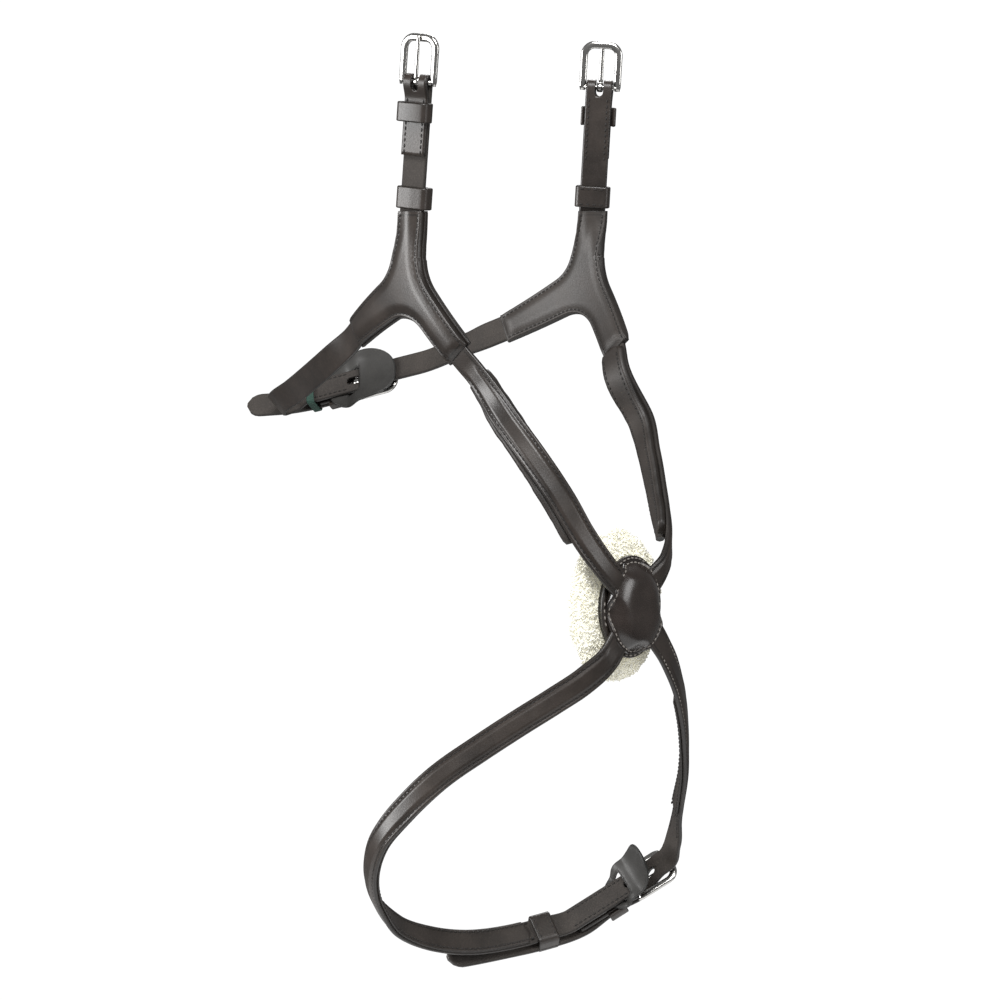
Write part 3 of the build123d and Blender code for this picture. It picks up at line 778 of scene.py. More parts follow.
# half is half the distance between the two cheeks; above stemFoot the stem is flat and turned
cheek = {"half": 76.0, "curve": 230.0, "centreX": 3.0, "centreZ": 20.0, "turn": {"right": 14.0, "left": 36.0},
         "lean": {"right": 7.5, "left": 5.8}, "barHeight": {"right": 122.1, "left": 121.9}, "top": 47.0,
         "keeper": {"right": 54.3, "left": 55.5}, "stemFoot": 19, "stemBlend": 5, "curveTop": 24.0}
# (height, middle, width, share of the turn) up the stem
stemShape = [(19, -0.4, 23.0, 0.0), (27, 1.2, 20.0, 0.15), (34, 2.5, 18.0, 0.5), (41, 3.1, 17.2, 0.85),
             (47, 3.4, 17.0, 1.0)]


def cheekStation(side, x, z):
    dx, dz = x - cheek["centreX"], z - cheek["centreZ"]
    reach = math.sqrt(cheek["curve"] ** 2 - dx * dx - dz * dz)
    return Vector((x, side * (cheek["half"] - cheek["curve"] + reach), z)), Vector((dx, side * reach, dz))


def stemAt(z):
    for (z0, x0, w0, t0), (z1, x1, w1, t1) in zip(stemShape, stemShape[1:]):
        if z <= z1:
            t = (z - z0) / (z1 - z0)
            return x0 + (x1 - x0) * t, w0 + (w1 - w0) * t, t0 + (t1 - t0) * t
    return stemShape[-1][1:]


def stemFacing(side, turn):
    return Vector((-side * math.sin(math.radians(turn)), side * math.cos(math.radians(turn)), 0))


# gives a point of a cheek layer at height h above its middle
def cheekPlace(side, name):
    def place(x, z, h):
        point, outward = cheekStation(side, x, min(z, cheek["curveTop"]))
        low = point + outward.normalized() * h
        if z <= cheek["stemFoot"]:
            return low
        middle, width, share = stemAt(z)
        facing = stemFacing(side, cheek["turn"][name] * share)
        sideways = Vector((facing.y, -facing.x, 0)) * side
        high = Vector((middle, side * cheek["half"], z)) + sideways * (x - middle) + facing * h
        low.z = z
        return low.lerp(high, min(1.0, (z - cheek["stemFoot"]) / cheek["stemBlend"]))
    return place


# the points of an arc of radius r that rounds a corner
def rounded(before, corner, after, r, steps=8):
    toA = (Vector(before) - Vector(corner)).normalized()
    toB = (Vector(after) - Vector(corner)).normalized()
    half = toA.angle(toB) / 2
    reach = r / math.tan(half)
    centre = Vector(corner) + (toA + toB).normalized() * (r / math.sin(half))
    first, last = Vector(corner) + toA * reach - centre, Vector(corner) + toB * reach - centre
    sweepAngle = first.angle(last)
    turn = 1 if first.x * last.y - first.y * last.x > 0 else -1
    result = []
    for k in range(steps + 1):
        angle = turn * sweepAngle * k / steps
        c, s = math.cos(angle), math.sin(angle)
        result.append((centre.x + first.x * c - first.y * s, centre.y + first.x * s + first.y * c))
    return result


# outline of the cheek piece in (x, z); grow widens it along the lower and front edges
def cheekOutline(grow=0.0):
    frontEnd = [(41 + grow, -30 + grow * 0.4), (26 - grow * 0.6, -42 - grow * 0.7)]
    rearEnd = [(-54, -33 - grow), (-62, -18)]
    crotch = (0.5 - grow * 0.3, -10.5 - grow)
    outline = [(x + w / 2 + grow * 0.8, z) for z, x, w, t in reversed(stemShape)]
    outline += rounded((11.5 + grow, 19), (11.5 + grow, 9.3), frontEnd[0], 30)
    outline += frontEnd + rounded(frontEnd[1], crotch, rearEnd[0], 20, 12)
    outline += rearEnd + rounded(rearEnd[1], (-14.5, 10), (-11.9, 19), 25)
    outline += [(x - w / 2, z) for z, x, w, t in stemShape]
    return outline


# the cut ends: the top and the two branches, as lines (x, z) to (x, z)
cheekEnds = [((-9.0, 47.0), (17.0, 47.0)), ((47.0, -25.0), (20.0, -46.8)), ((-49.0, -42.4), (-66.0, -10.5))]
cheekLook = {"puff": 1.3, "groove": 0.6, "seam": 2.3, "liningSeam": 2.5, "skive": 7.0, "liningGrow": 1.3}


# distance from a point to a long line through a and b
def lineDistance(x, y, a, b):
    dx, dy = b[0] - a[0], b[1] - a[1]
    return abs((x - a[0]) * dy - (y - a[1]) * dx) / math.hypot(dx, dy)


# distance to the sewn edges, leaving out the cut ends
def sewnDistance(x, z, outline):
    best = 1e9
    for (ax, az), (bx, bz) in zip(outline, outline[1:] + outline[:1]):
        if any(lineDistance(ax, az, *end) < 2.2 and lineDistance(bx, bz, *end) < 2.2 for end in cheekEnds):
            continue
        dx, dz = bx - ax, bz - az
        t = max(0.0, min(1.0, ((x - ax) * dx + (z - az) * dz) / (dx * dx + dz * dz)))
        best = min(best, (ax + dx * t - x) ** 2 + (az + dz * t - z) ** 2)
    return math.sqrt(best)


# thins the layer towards the ends of the branches, down to low
def skived(x, z, height, low):
    away = min(lineDistance(x, z, *end) for end in cheekEnds[1:])
    t = min(1.0, away / cheekLook["skive"])
    return low + (height - low) * t * (2 - t)


def cheekUpper(outline):
    def upper(d, x, z):
        d = sewnDistance(x, z, outline)
        edge = min(1.0, d / 1.1)
        puff = max(0.0, min(1.0, (d - 2.9) / 5.5))
        height = 0.6 + 3.0 * math.sqrt(1 - (1 - edge) ** 2)
        height += cheekLook["puff"] * math.sin(puff * math.pi / 2) ** 1.5
        height -= cheekLook["groove"] * math.exp(-(((d - cheekLook["seam"]) / 0.55) ** 2))
        return skived(x, z, height, 1.75)
    return upper


def cheekLower(outline):
    def lower(d, x, z):
        d = sewnDistance(x, z, outline)
        edge = min(1.0, d / 1.0)
        puff = max(0.0, min(1.0, (d - 3.2) / 4.5))
        height = 0.4 + 3.4 * math.sqrt(1 - (1 - edge) ** 2) + 0.9 * math.sin(puff * math.pi / 2)
        height -= 0.3 * math.exp(-(((d - cheekLook["liningSeam"]) / 0.55) ** 2))
        return -skived(x, z, height, 2.0)
    return lower


# points at one depth inside an outline's sewn edges
def insetRow(outline, depth):
    count = len(outline)
    signed = sum(ax * by - bx * ay for (ax, ay), (bx, by) in zip(outline, outline[1:] + outline[:1]))
    turn = 1 if signed > 0 else -1
    row = []
    for k in range(count):
        (ax, ay), (bx, by) = outline[k - 1], outline[(k + 1) % count]
        size = math.hypot(bx - ax, by - ay)
        x = outline[k][0] - turn * (by - ay) / size * depth
        y = outline[k][1] + turn * (bx - ax) / size * depth
        if outlineDistance(x, y, outline) > depth * 0.95 and sewnDistance(*outline[k], outline) < 0.5:
            row.append((x, y))
    return row


def makeCheek(name, side):
    place = cheekPlace(side, name)
    outer = cheekOutline()
    inner = cheekOutline(cheekLook["liningGrow"])
    upper, lower = cheekUpper(outer), cheekLower(inner)
    shape = makeShape(name + "_cheek_shape", outer, place, upper, lambda d, x, z: 0.3, [sewnLeather, flesh])
    settle(shape, "bridle_leather", "noseband", name + "_cheek_shape")
    back = makeShape(name + "_cheek_lining", inner, place, lambda d, x, z: 0.2, lower, [lining, lining])
    settle(back, "lining_leather", "noseband", name + "_cheek_lining")
    for outline, face, depth in ((outer, upper, cheekLook["seam"]), (inner, lower, cheekLook["liningSeam"])):
        run = []
        for x, z in insetRow(spaced(outline, 1.2), depth):
            point = place(x, z, face(depth, x, z))
            if run and (point - run[-1]).length > 4:
                sewRow("noseband", run)
                run = []
            run.append(point)
        if len(run) > 1:
            sewRow("noseband", run)


hangerKeeper = {"low": -8.1, "high": -1.3, "length": 13.0, "seam": 4.6}
for name, side in (("right", -1), ("left", 1)):
    makeCheek(name, side)
    turn = cheek["turn"][name]
    foot = Vector((stemShape[-1][1], side * cheek["half"], cheek["top"]))
    top = Vector((stemShape[-1][1] + cheek["lean"][name], side * cheek["half"], cheek["barHeight"][name]))
    facing = stemFacing(side, turn)
    bar = BucklePlace(top, top - foot, facing).at(0, barMiddle)
    buckle = BucklePlace(bar, top - foot, facing)
    stem = [(Vector((x, side * cheek["half"], z)), stemFacing(side, turn * share))
            for z, x, width, share in stemShape]
    lower = strapLine(stem[2:] + [buckle.station(-66, -barMiddle), buckle.station(-46.5, -barMiddle)])
    line = lower + foldLine(buckle, 46.0, 43.0, 0.0)
    strap = makeStrap(name + "_hanger_strap", line, plainStrap, [flesh, bridle])
    cutHoles(strap, [foldSlot(buckle)])
    settle(strap, "bridle_leather", "noseband", name + "_hanger_strap")
    sewFold(buckle, (1.2, (-11, -17, -25, -33, -41)), (-4.5, (-8, -20, -32, -43)))
    makeBuckle(name + "_hanger_buckle", buckle, name + "_hanger_buckle")
    makeTongue(name + "_hanger_tongue", buckle, name + "_hanger_tongue")
    makeFixedKeeper(name + "_hanger_fixed_keeper", buckle, -17.8, -1.5, 6.2, 11.5, "noseband")
    slide = cheek["keeper"][name] - cheek["barHeight"][name]
    keeper = name + "_hanger_sliding_keeper"
    makeKeeper(keeper, buckle.at(slide, 0), buckle.across, buckle.outward, hangerKeeper["low"],
               hangerKeeper["high"], hangerKeeper["length"], keeper)
    for a in (-hangerKeeper["seam"], hangerKeeper["seam"]):
        sewRow(keeper, [buckle.at(slide + a, hangerKeeper["low"] - 1.75, w) for w in (-6, -2, 2, 6)])
print("stage: cheek pieces and hangers")

# the crossover straps pass through the same stations as in the part
chin = BucklePlace((31, 85, -365), (0.56, 0.64, 0.53), (-0.30, 0.75, -0.59))
jaw = BucklePlace((-159.4, 32.3, -61.5), (0.86, 0.44, 0.25), (-0.22, 0.83, -0.51))
billetPath = [(25, -4.2), (19, -3.6), (13.5, -0.9), (8, 3.6), (2.5, 6.5), (-4, 6.5), (-11, 5.0), (-20, 4.7)]
noseX, noseZ, crossGap = 112.0, -183.0, 1.55

rightFront = [
    cheekStation(-1, 25, -25),
    cheekStation(-1, 34, -37),
    cheekStation(-1, 42, -47),
    ((66, -60, -74), (0.55, -0.82, 0.0)),
    ((83, -55, -95), (0.70, -0.70, 0.05)),
    ((97, -47, -118), (0.84, -0.53, 0.1)),
    ((107, -38, -141), (0.93, -0.35, 0.1)),
    ((113, -24, -161), (1.0, -0.10, 0.0)),
    ((113.5, -12, -172), (1.0, 0.0, 0.0)),
]
leftFront = [
    cheekStation(1, 25, -25),
    cheekStation(1, 33, -38),
    cheekStation(1, 39, -48),
    ((56, 68, -79), (0.28, 0.94, -0.1)),
    ((71.5, 59.5, -101), (0.40, 0.90, 0.0)),
    ((87.8, 48.8, -124), (0.50, 0.86, 0.0)),
    ((102, 38, -143), (0.66, 0.75, 0.0)),
    ((110.2, 27, -158), (0.88, 0.45, 0.0)),
    ((110.6, 14, -170), (1.0, 0.0, 0.0)),
]
leftFall = [
    ((113.4, 13, -198), (1.0, 0.05, 0.0)),
    ((112.4, 26, -213), (0.96, 0.28, 0.0)),
    ((105, 45, -236), (0.88, 0.48, 0.0)),
    ((92, 64, -264), (0.77, 0.63, 0.0)),
    ((79, 78, -291), (0.64, 0.77, -0.1)),
    ((65, 88, -315), (0.45, 0.86, -0.2)),
    ((54, 96, -336), (0.09, 0.93, -0.35)),
]
rightFall = [
    ((110.6, -12, -199), (1.0, 0.0, 0.0)),
    ((109.6, -20, -211), (1.0, -0.10, 0.1)),
    ((101, -31, -224), (0.94, -0.25, 0.26)),
    ((88, -43, -236), (0.87, -0.38, 0.31)),
    ((73, -57, -249), (0.83, -0.44, 0.34)),
    ((56, -72, -264), (0.78, -0.50, 0.37)),
    ((38, -88, -281), (0.69, -0.62, 0.39)),
    ((21, -99, -300), (0.41, -0.84, 0.36)),
    ((5, -105, -320), (0.00, -0.97, 0.25)),
    ((-9, -99, -341), (-0.25, -0.97, 0.04)),
    ((-20, -83, -363), (-0.54, -0.73, -0.41)),
    ((-25, -60, -381), (-0.76, 0.04, -0.65)),
    ((-25, -34, -391), (-0.69, 0.41, -0.60)),
    ((-20, -7, -396), (-0.59, 0.59, -0.56)),
    ((-11, 19, -395), (-0.47, 0.68, -0.56)),
    ((-2, 40, -391), (-0.41, 0.72, -0.56)),
]
chinTail = [
    ((8, 63, -390), (-0.34, 0.74, -0.58)),
    ((-4, 42, -397), (-0.41, 0.72, -0.56)),
    ((-15, 20, -401), (-0.47, 0.68, -0.56)),
    ((-25, -4, -404), (-0.59, 0.59, -0.56)),
    ((-29, -16, -405), (-0.62, 0.55, -0.56)),
]
overStations = (rightFront + [((noseX + crossGap, 0, noseZ), (1, 0, 0))] + leftFall
                + [chin.station(a, n) for a, n in billetPath] + chinTail)
underStations = (leftFront + [((noseX - crossGap, 0, noseZ), (1, 0, 0))] + rightFall
                 + [chin.station(-44.5, -barMiddle)])


# the number of the line's point that is nearest to a spot
def nearest(line, spot):
    return min(range(len(line)), key=lambda i: (line[i][0] - Vector(spot)).length)


# a strap's line that runs straight on into the fold at its last station, reach before the bar
def lineToFold(stations, buckle, reach):
    full = strapLine(stations + [buckle.station(8.0 - reach, -barMiddle)])
    return full[:nearest(full, stations[-1][0]) + 1]


def lengthAt(line, spot):
    return distances(line)[nearest(line, spot)]


def between(line, first, last):
    return line[nearest(line, first):nearest(line, last) + 1]


holeWidth = 4.6


def tongueHole(buckle):
    return slotCutter(buckle.at(10, 2), buckle.along, buckle.outward, 12.0, holeWidth, 8.0, bridle)


def billetHoles(line, spots):
    near = [line[nearest(line, spot)] for spot in spots]
    return [slotCutter(point, along, outward, 6.0, holeWidth, 5.0, bridle)
            for point, along, across, outward in near]


overLine = strapLine(overStations)
noseIn, noseOut = lengthAt(overLine, (113.5, -13, -171)), lengthAt(overLine, (112.4, 22, -208))
overRaise = (lengthAt(overLine, (45, -68, -50)) - 8, lengthAt(overLine, (54, 96, -336)) - 6)
overStrap = makeStrap("crossover_strap_right", overLine, raisedStrap, [sewnLeather, flesh], tips=(0, 9),
                      raised=[(overRaise[0], noseIn), (noseOut, overRaise[1])])
cutHoles(overStrap, [tongueHole(chin)] + billetHoles(overLine, [chinTail[1][0], chinTail[2][0]]))
settle(overStrap, "bridle_leather", "noseband", "crossover_strap_right")
sewStrap("noseband", overLine, raisedStrap, overRaise[0] + 4, noseIn)
sewStrap("noseband", overLine, raisedStrap, noseOut, overRaise[1], colour="pale")
sewStrap("noseband", overLine, plainStrap, noseOut, overRaise[1], side=-1)

underLine = lineToFold(underStations, chin, 44.5)
underFull = underLine + foldLine(chin, 44.0, 42.0, 1.8)
underRaise = (lengthAt(underLine, (41, 76, -51)) - 8, lengthAt(underLine, (-20, -7, -396)))
underIn, underOut = lengthAt(underLine, (110.6, 14, -170)), lengthAt(underLine, (110, -18, -208))
underStrap = makeStrap("crossover_strap_left", underFull, raisedStrap, [sewnLeather, flesh],
                       raised=[(underRaise[0], underIn), (underOut, underRaise[1])])
cutHoles(underStrap, [foldSlot(chin)])
settle(underStrap, "bridle_leather", "noseband", "crossover_strap_left")
sewStrap("noseband", underLine, raisedStrap, underRaise[0] + 4, underIn)
sewStrap("noseband", underLine, raisedStrap, underOut, underRaise[1])
sewFold(chin, (-4.5, (-7, -16, -26, -36, -43)), (3.0, (-9, -16, -26, -36, -41)))

liningLook = {"thick": 1.4, "raise": 0.0, "groove": 0.0, "seam": 2.0, "width": 15.4, "edge": 0.5}
liningDrop = -(strapThick + liningLook["thick"]) / 2 - 0.2
keeperStart = lengthAt(underLine, rightFall[15][0]) - 11
liningEnd = next(s[0] for s, d in zip(underLine, distances(underLine)) if d >= keeperStart)
for name, line, first, last in (("chin_lining_right", underLine, rightFall[2][0], liningEnd),
                                ("chin_lining_left", overLine, leftFall[2][0], leftFall[5][0])):
    stretchLine = between(line, first, last)
    backing = makeStrap(name, stretchLine, liningLook, [lining, lining], tips=(3, 3), offset=liningDrop)
    settle(backing, "lining_leather", "noseband", name)
    sewStrap("noseband", stretchLine, liningLook, 4, math.inf, side=-1, offset=liningDrop)
print("stage: crossover straps")

padLook = {"thick": 5.0, "raise": 0.0, "groove": 0.0, "seam": 2.4, "width": 18.6, "edge": 2.3}
# the pads lie under the straps, shifted sideways, and by startShift at the cheek's end
padPlace = {"drop": -4.0, "shift": 1.6, "startShift": {"right_front_pad": 3.4, "left_front_pad": -1.0},
            "fade": 30.0, "wave": 0.5, "tip": 4, "seamWidth": 17.0, "seamEnd": 6}
for name, line, first, last, way in (("right_front_pad", overLine, rightFront[2][0], rightFront[6][0], 1),
                                     ("left_front_pad", underLine, leftFront[1][0], leftFront[6][0], -1)):
    stretchLine = []
    stretch = between(line, first, last)
    for (point, along, across, outward), dist in zip(stretch, distances(stretch)):
        share = max(0.0, 1 - dist / padPlace["fade"])
        shift = padPlace["shift"] + (padPlace["startShift"][name] - padPlace["shift"]) * share
        stretchLine.append((point + across * (way * shift), along, across, outward))
    pad = makeStrap(name, stretchLine, padLook, [lining, lining], tips=(padPlace["tip"], padPlace["tip"]),
                    offset=padPlace["drop"], wave=padPlace["wave"])
    settle(pad, "lining_leather", "noseband", name)
    sewStrap("noseband", stretchLine, padLook | {"width": padPlace["seamWidth"]}, padPlace["seamEnd"],
             distances(stretchLine)[-1] - padPlace["seamEnd"], side=-1, offset=padPlace["drop"])

jawRound = [
    cheekStation(-1, -43, -19),
    cheekStation(-1, -56, -25),
    cheekStation(-1, -68, -31),
    ((-90, -54, -42), (-0.25, -0.85, -0.46)),
    ((-125, -40, -55), (-0.30, -0.80, -0.50)),
    ((-158, -24, -65), (-0.40, -0.72, -0.56)),
    ((-185, -12, -73), (-0.60, -0.45, -0.66)),
    ((-196, -1, -75.5), (-0.80, 0.00, -0.60)),
    ((-194.5, 10, -73), (-0.60, 0.50, -0.62)),
]
jawRoute = jawRound + [jaw.station(-34.0, -barMiddle - 0.1), jaw.station(-28.5, -barMiddle)]
jawLine = lineToFold(jawRoute, jaw, 28.5)
jawStrap = makeStrap("jaw_strap_right", jawLine + foldLine(jaw, 28.0, 27.0, 1.8), plainStrap, [bridle, flesh])
cutHoles(jawStrap, [foldSlot(jaw)])
settle(jawStrap, "bridle_leather", "noseband", "jaw_strap_right")
sewFold(jaw, (-4.5, (-7, -16, -27)), (3.0, (-9, -16, -26)))

jawBilletStations = ([cheekStation(1, -43, -19), cheekStation(1, -56, -24.5), cheekStation(1, -68, -29.5),
                      ((-90, 57, -37), (-0.25, 0.85, -0.46)), jaw.station(48, -4.2), jaw.station(36, -4.2)]
                     + [jaw.station(a, n) for a, n in billetPath]
                     + [jaw.station(-34, 4.4), jaw.station(-50, 4.0, 1.2), jaw.station(-64, 3.4, 3.2),
                        jaw.station(-78, 2.8, 5.4)])
jawBilletLine = strapLine(jawBilletStations)
jawBillet = makeStrap("jaw_strap_left", jawBilletLine, plainStrap, [bridle, flesh], tips=(0, 9))
cutHoles(jawBillet, [tongueHole(jaw)] + billetHoles(jawBilletLine, [jaw.at(-34, 4.4), jaw.at(-50, 4.0)]))
settle(jawBillet, "bridle_leather", "noseband", "jaw_strap_left")
print("stage: jaw strap")

# plate, felt, cover and fleece are half sizes, across and up; the rims rise where straps pass under the cover
nose = {"plateFront": noseX - crossGap - strapThick / 2 - 0.2, "plateThick": 2.4, "feltThick": 2.5,
        "fleeceThick": 18.0, "plate": (25.0, 30.0), "felt": (23.5, 28.5), "cover": (22.5, 28.0),
        "fleece": (36.0, 45.0), "dome": 9.6, "flange": 2.8, "overRim": 5.3, "underRim": 2.6, "coverSeam": 2.0,
        "plateSeam": 1.5}


def ellipse(half, steps=72):
    return [(half[0] * math.cos(2 * math.pi * k / steps), half[1] * math.sin(2 * math.pi * k / steps))
            for k in range(steps)]


def nosePlace(y, z, h):
    return Vector((nose["plateFront"] + h, y, noseZ + z))


def pointsUnder(line):
    return [s[0] for s in line if abs(s[0].z - noseZ) < 45 and s[0].x > 95]


overPoints, underPoints = pointsUnder(overLine), pointsUnder(underLine)


# 1 over the middle of a strap, 0 beside it
def overStrapShare(y, z, points):
    near = min(math.hypot(p.y - y, p.z - noseZ - z) for p in points)
    share = max(0.0, min(1.0, (15.5 - near) / 8.5))
    return share * share * (3 - 2 * share)


def overStraps(y, z):
    return max(overStrapShare(y, z, overPoints), overStrapShare(y, z, underPoints))


def coverUpper(d, y, z):
    rim = 0.9 + max(nose["overRim"] * overStrapShare(y, z, overPoints),
                    nose["underRim"] * overStrapShare(y, z, underPoints))
    swell = max(0.0, min(1.0, (d - nose["flange"]) / 12.0))
    edge = min(1.0, d / 0.9)
    height = rim + (nose["dome"] - rim) * (1 - (1 - swell) ** 2.4)
    return height - 0.7 * (1 - edge) ** 2 - 0.35 * math.exp(-(((d - nose["coverSeam"]) / 0.6) ** 2))


def plateUpper(d, y, z):
    edge = min(1.0, d / 0.9)
    return -0.8 + 0.9 * math.sqrt(1 - (1 - edge) ** 2) - 0.3 * math.exp(-(((d - 1.9) / 0.5) ** 2))


cover = makeShape("nose_cover", ellipse(nose["cover"]), nosePlace, coverUpper, lambda d, y, z: 0.0,
                  [glazed, flesh])
settle(cover, "glazed_leather", "noseband", "nose_cover")
plate = makeShape("nose_plate", ellipse(nose["plate"]), nosePlace, plateUpper,
                  lambda d, y, z: -nose["plateThick"], [bridle, flesh])
settle(plate, "bridle_leather", "noseband", "nose_plate")


# a ring of stitches at one height, broken where the straps pass, or on the cover when height is None
def sewRing(half, depth, height):
    run = []
    ring = ellipse((half[0] - depth, half[1] - depth), 120)
    for y, z in ring + ring[:1]:
        if height is None:
            run.append(nosePlace(y, z, coverUpper(depth, y, z)))
        elif overStraps(y, z) < 0.3:
            run.append(nosePlace(y, z, height))
        elif run:
            if len(run) > 1:
                sewRow("noseband", run, "pale")
            run = []
    if len(run) > 1:
        sewRow("noseband", run, "pale")


sewRing(nose["plate"], nose["plateSeam"], 0.0)
sewRing(nose["cover"], nose["coverSeam"], None)

# felt between the base and the sheepskin
feltBack = -nose["plateThick"] - nose["feltThick"] - 0.1
felt = makeShape("nose_felt", ellipse(nose["felt"]), nosePlace, lambda d, y, z: feltBack + nose["feltThick"],
                 lambda d, y, z: feltBack, [flesh, flesh], step=2.5)
settle(felt, "felt", "noseband", "nose_felt")


fleece = {"rows": 70, "around": 150, "curl": 1.6, "density": 480000.0, "tuftLength": 1.7, "tuftRadius": 0.8,
          "seed": 7}


# the sheepskin's crowned pad, with lumps
def makeFleece():
    half, thick = nose["fleece"], nose["fleeceThick"]
    middle = nose["plateFront"] + feltBack - 0.2 - thick / 2
    points, faces = [], []
    rows, around = fleece["rows"], fleece["around"]
    for i in range(1, rows):
        lat = math.pi * i / rows
        ring = math.sin(lat) ** 0.62
        depth = math.copysign(abs(math.cos(lat)) ** 0.75, math.cos(lat))
        for k in range(around):
            turn = 2 * math.pi * k / around
            c, s = math.cos(turn), math.sin(turn)
            base = Vector((middle + depth * thick / 2, half[0] * ring * c, noseZ + half[1] * ring * s))
            away = Vector((depth * 1.4, ring * c, ring * s)).normalized()
            lump = noise.noise(base * 0.16) * 1.1 + noise.noise(base * 0.42) * 0.9
            lump += noise.noise(base * 0.9) * 0.5
            points.append(base + away * (lump * fleece["curl"] * 0.6 - 1.6))
    for i in range(rows - 2):
        for k in range(around):
            n = (k + 1) % around
            faces.append((i * around + k, i * around + n, (i + 1) * around + n, (i + 1) * around + k))
    faces.append(tuple(range(around)))
    faces.append(tuple(range((rows - 2) * around, (rows - 1) * around)))
    return orient(addMesh("nose_sheepskin", points, faces, [0] * len(faces), [wool]))


# curled tufts of wool over a pad
def tuftTree():
    tree = bpy.data.node_groups.new("tufts", "GeometryNodeTree")
    tree.interface.new_socket("Geometry", in_out="INPUT", socket_type="NodeSocketGeometry")
    for label, kind in (("Density", "Float"), ("Length", "Float"), ("Radius", "Float"), ("Seed", "Int")):
        tree.interface.new_socket(label, in_out="INPUT", socket_type="NodeSocket" + kind)
    tree.interface.new_socket("Wool", in_out="INPUT", socket_type="NodeSocketMaterial")
    tree.interface.new_socket("Geometry", in_out="OUTPUT", socket_type="NodeSocketGeometry")
    start = Socket(tree)
    given = tree.nodes.new("NodeGroupInput")
    wanted = {s.name: Socket(tree, s) for s in given.outputs}
    dots = tree.nodes.new("GeometryNodeDistributePointsOnFaces")
    tree.links.new(wanted["Geometry"].link, dots.inputs["Mesh"])
    tree.links.new(wanted["Density"].link, dots.inputs["Density"])
    tree.links.new(wanted["Seed"].link, dots.inputs["Seed"])
    spiral = start.make("GeometryNodeCurveSpiral", None,
                        {"Resolution": 7, "Rotations": 0.8, "Start Radius": wanted["Radius"],
                         "End Radius": wanted["Radius"] * 0.35, "Height": wanted["Length"]})
    wisp = start.make("GeometryNodeCurvePrimitiveCircle", None,
                      {"Resolution": 4, "Radius": wanted["Radius"] * 0.55})
    tuft = start.make("GeometryNodeCurveToMesh", None,
                      {"Curve": spiral, "Profile Curve": wisp, "Fill Caps": True})
    lean = start.make("FunctionNodeRandomValue", {"data_type": "FLOAT_VECTOR"},
                      {0: (-0.7, -0.7, -3.1), 1: (0.7, 0.7, 3.1), "Seed": wanted["Seed"]})
    turned = start.make("FunctionNodeRotateRotation", {"rotation_space": "LOCAL"},
                        {"Rotation": Socket(tree, dots.outputs["Rotation"]), "Rotate By": lean})
    size = start.make("FunctionNodeRandomValue", {"data_type": "FLOAT"}, {2: 0.7, 3: 1.25, "Seed": 5}, 1)
    many = start.make("GeometryNodeInstanceOnPoints", None,
                      {"Points": Socket(tree, dots.outputs["Points"]), "Instance": tuft, "Rotation": turned,
                       "Scale": size})
    solid = start.make("GeometryNodeRealizeInstances", None, {"Geometry": many})
    both = tree.nodes.new("GeometryNodeJoinGeometry")
    tree.links.new(wanted["Geometry"].link, both.inputs[0])
    tree.links.new(solid.link, both.inputs[0])
    painted = start.make("GeometryNodeSetMaterial", None,
                         {"Geometry": Socket(tree, both.outputs[0]), "Material": wanted["Wool"]})
    smooth = start.make("GeometryNodeSetShadeSmooth", None, {0: painted})
    ending = tree.nodes.new("NodeGroupOutput")
    tree.links.new(smooth.link, ending.inputs["Geometry"])
    return tree


pad = makeFleece()
tree = tuftTree()
sockets = inputsOf(tree)
growing = pad.modifiers.new("tufts", "NODES")
growing.node_group = tree
growing[sockets["Density"]] = fleece["density"]
growing[sockets["Length"]] = fleece["tuftLength"] * mm
growing[sockets["Radius"]] = fleece["tuftRadius"] * mm
growing[sockets["Seed"]] = fleece["seed"]
growing[sockets["Wool"]] = wool
bakeModifiers(pad)
settle(pad, "sheepskin", "noseband", "nose_sheepskin")
print("stage: nose disc")


# a smooth line through the guard's middle: (distance from its sewn end, a, n, and the direction there)
def guardCurve(spots):
    stations = [((a, n, 0), (0, 0, 1)) for a, n in spots]
    line = strapLine(stations, step=0.8)
    run = distances(line)
    return [(s, p[0].x, p[0].y, p[1].x, p[1].y) for s, p in zip(run, line)]


# crossing is where the strap comes through the guard's slot, and sag how far its free end hangs sideways
def makeGuard(name, buckle, spots, crossing, width, sag=0.0):
    curve = guardCurve(spots)
    total = curve[-1][0]

    def place(w, s, h):
        after = next((c for c in curve if c[0] >= s), curve[-1])
        gap = s - after[0]
        a, n, da, dn = after[1] + after[3] * gap, after[2] + after[4] * gap, after[3], after[4]
        cup = -0.006 * w * w
        return buckle.at(a - dn * (h + cup), n + da * (h + cup), w - sag * min(1.0, s / total))

    outline = []
    for k in range(72):
        c, d = math.cos(2 * math.pi * k / 72), math.sin(2 * math.pi * k / 72)
        outline.append((width * math.copysign(abs(c) ** 0.8, c),
                        total / 2 * (1 + math.copysign(abs(d) ** 0.8, d))))
    slotFrom, slotTo = [min(curve, key=lambda c: abs(c[1] - a))[0] for a in crossing]
    half = guardSlotHalf
    hole = [(-half, slotFrom), (half, slotFrom), (half, slotTo), (-half, slotTo)]

    def upper(d, w, s):
        edge = min(1.0, d / 0.8)
        return -0.3 + 1.2 * math.sqrt(1 - (1 - edge) ** 2)

    def lower(d, w, s):
        return -upper(d, w, s) - 0.5 * min(1.0, max(0.0, d - 1.5) / 5)

    guard = makeShape(name, outline, place, upper, lower, [guardSkin, guardSkin], holes=[hole])
    return settle(guard, "guard_leather", "noseband", name)


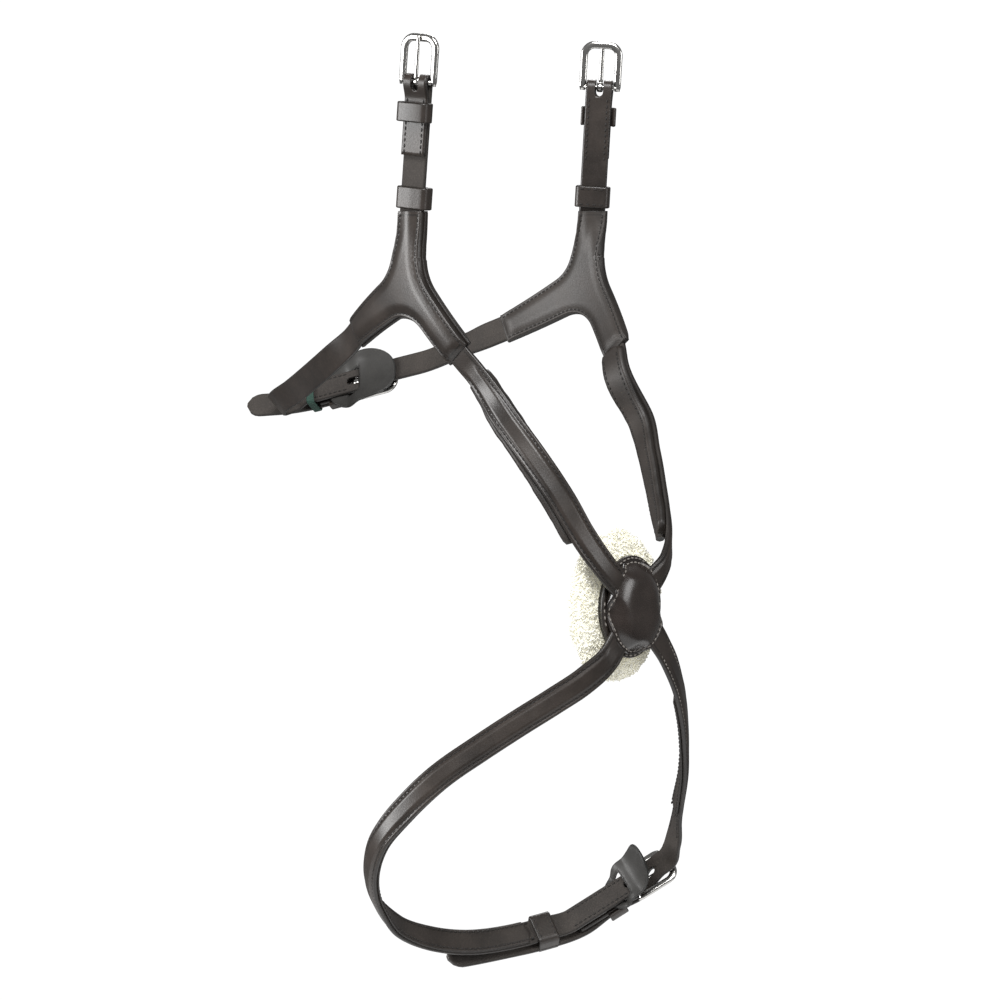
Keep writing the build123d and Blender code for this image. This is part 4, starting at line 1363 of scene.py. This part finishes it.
guardSlotHalf = 8.6
chinGuard = [(-19.5, -0.85), (-9.5, -0.85), (-3.8, -7.4), (3.0, -9.0), (8.0, -13.5), (11.5, -20.0),
             (13.5, -28.0)]
makeGuard("chin_buckle_guard", chin, chinGuard, (-9.3, -4.0), 14.5)
jawGuard = [(-19.5, -0.85), (-5.6, -0.85), (5.4, -7.5), (29.5, -7.5)]
makeGuard("jaw_buckle_guard", jaw, jawGuard, (-5.4, 5.0), 18.5, 2.5)
for name, buckle in (("chin", chin), ("jaw", jaw)):
    makeBuckle(name + "_buckle", buckle, name + "_buckle")
    makeTongue(name + "_tongue", buckle, name + "_tongue")
makeFixedKeeper("chin_fixed_keeper", chin, -17.0, 0.3, 6.6, 12.0, "noseband")
makeFixedKeeper("jaw_fixed_keeper", jaw, -16.0, 0.3, 6.6, 10.0, "noseband")
point, along, across, outward = underLine[nearest(underLine, rightFall[15][0])]
makeKeeper("chin_sliding_keeper", point, across, outward, -1.7, 8.2, 13.0, "chin_sliding_keeper")
makeKeeper("jaw_keeper_band", jaw.at(-30.4, 0), jaw.across, jaw.outward, -5.5, 6.6, 5.0, "jaw_keeper_band",
           wall=1.0, width=17.0, materials=[elastic, elastic], slotName="elastic")
for a in (-4.6, 4.6):
    sewRow("chin_sliding_keeper", [point + along * a + across * w - outward * 3.3 for w in (-6, -2, 2, 6)])
# the cores show only between the cheek's layers
for node in ("right_cheek_core", "left_cheek_core"):
    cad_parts[node].data.materials.clear()
    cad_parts[node].data.materials.append(flesh)
sewAll()
print("stage: fittings and stitches")

# the view in millimetres and degrees; the ground in metres
view = {"target": (0, 0, -126), "azimuth": 45.0, "elevation": 4.0, "distance": 2500, "lens": 150.0}
ground = {"radius": 0.4, "height": -0.52, "sides": 96}


def addFloor():
    floorMaterial, start = newMaterial("paleFloor")
    finishShader(start, {"Base Color": (0.86, 0.86, 0.86, 1), "Roughness": 0.95})
    turns = [2 * math.pi * k / ground["sides"] for k in range(ground["sides"])]
    points = [(ground["radius"] * math.cos(turn), ground["radius"] * math.sin(turn), ground["height"])
              for turn in turns]
    mesh = bpy.data.meshes.new("floor")
    mesh.from_pydata(points, [], [tuple(range(ground["sides"]))])
    mesh.materials.append(floorMaterial)
    floor = bpy.data.objects.new("floor", mesh)
    bpy.context.scene.collection.objects.link(floor)


def addLight(name, place, size, power):
    lamp = bpy.data.lights.new(name, "AREA")
    lamp.size = size
    lamp.energy = power
    light = bpy.data.objects.new(name, lamp)
    light.location = place
    light.rotation_euler = (Vector((0, 0, -0.15)) - Vector(place)).to_track_quat("-Z", "Y").to_euler()
    bpy.context.scene.collection.objects.link(light)


addFloor()
# (place, side and power) in metres and watts
addLight("key", (1.3, -1.4, 1.5), 1.1, 62)
addLight("side", (-1.0, -1.8, 0.1), 1.0, 40)
addLight("fill", (2.4, 0.5, 0.3), 1.0, 16)
addLight("back", (-1.2, 1.6, 1.8), 1.0, 34)
world = bpy.data.worlds.new("studio")
world.use_nodes = True
sky = Socket(world.node_tree)
rays = sky.make("ShaderNodeLightPath", out=0)
backdrop = world.node_tree.nodes["Background"]
backdrop.inputs["Color"].default_value = (1, 1, 1, 1)
world.node_tree.links.new((rays * 0.87 + 0.18).link, backdrop.inputs["Strength"])
bpy.context.scene.world = world
bpy.context.scene.view_settings.view_transform = "Standard"

azimuth, elevation = math.radians(view["azimuth"]), math.radians(view["elevation"])
back = Vector((math.sin(azimuth) * math.cos(elevation), -math.cos(azimuth) * math.cos(elevation),
               math.sin(elevation)))
camera = bpy.data.objects.new("camera", bpy.data.cameras.new("camera"))
camera.data.lens = view["lens"]
camera.data.clip_end = 200
camera.location = (Vector(view["target"]) + back * view["distance"]) * mm
camera.rotation_euler = back.to_track_quat("Z", "Y").to_euler()
bpy.context.scene.collection.objects.link(camera)
bpy.context.scene.camera = camera

print("stage: done")
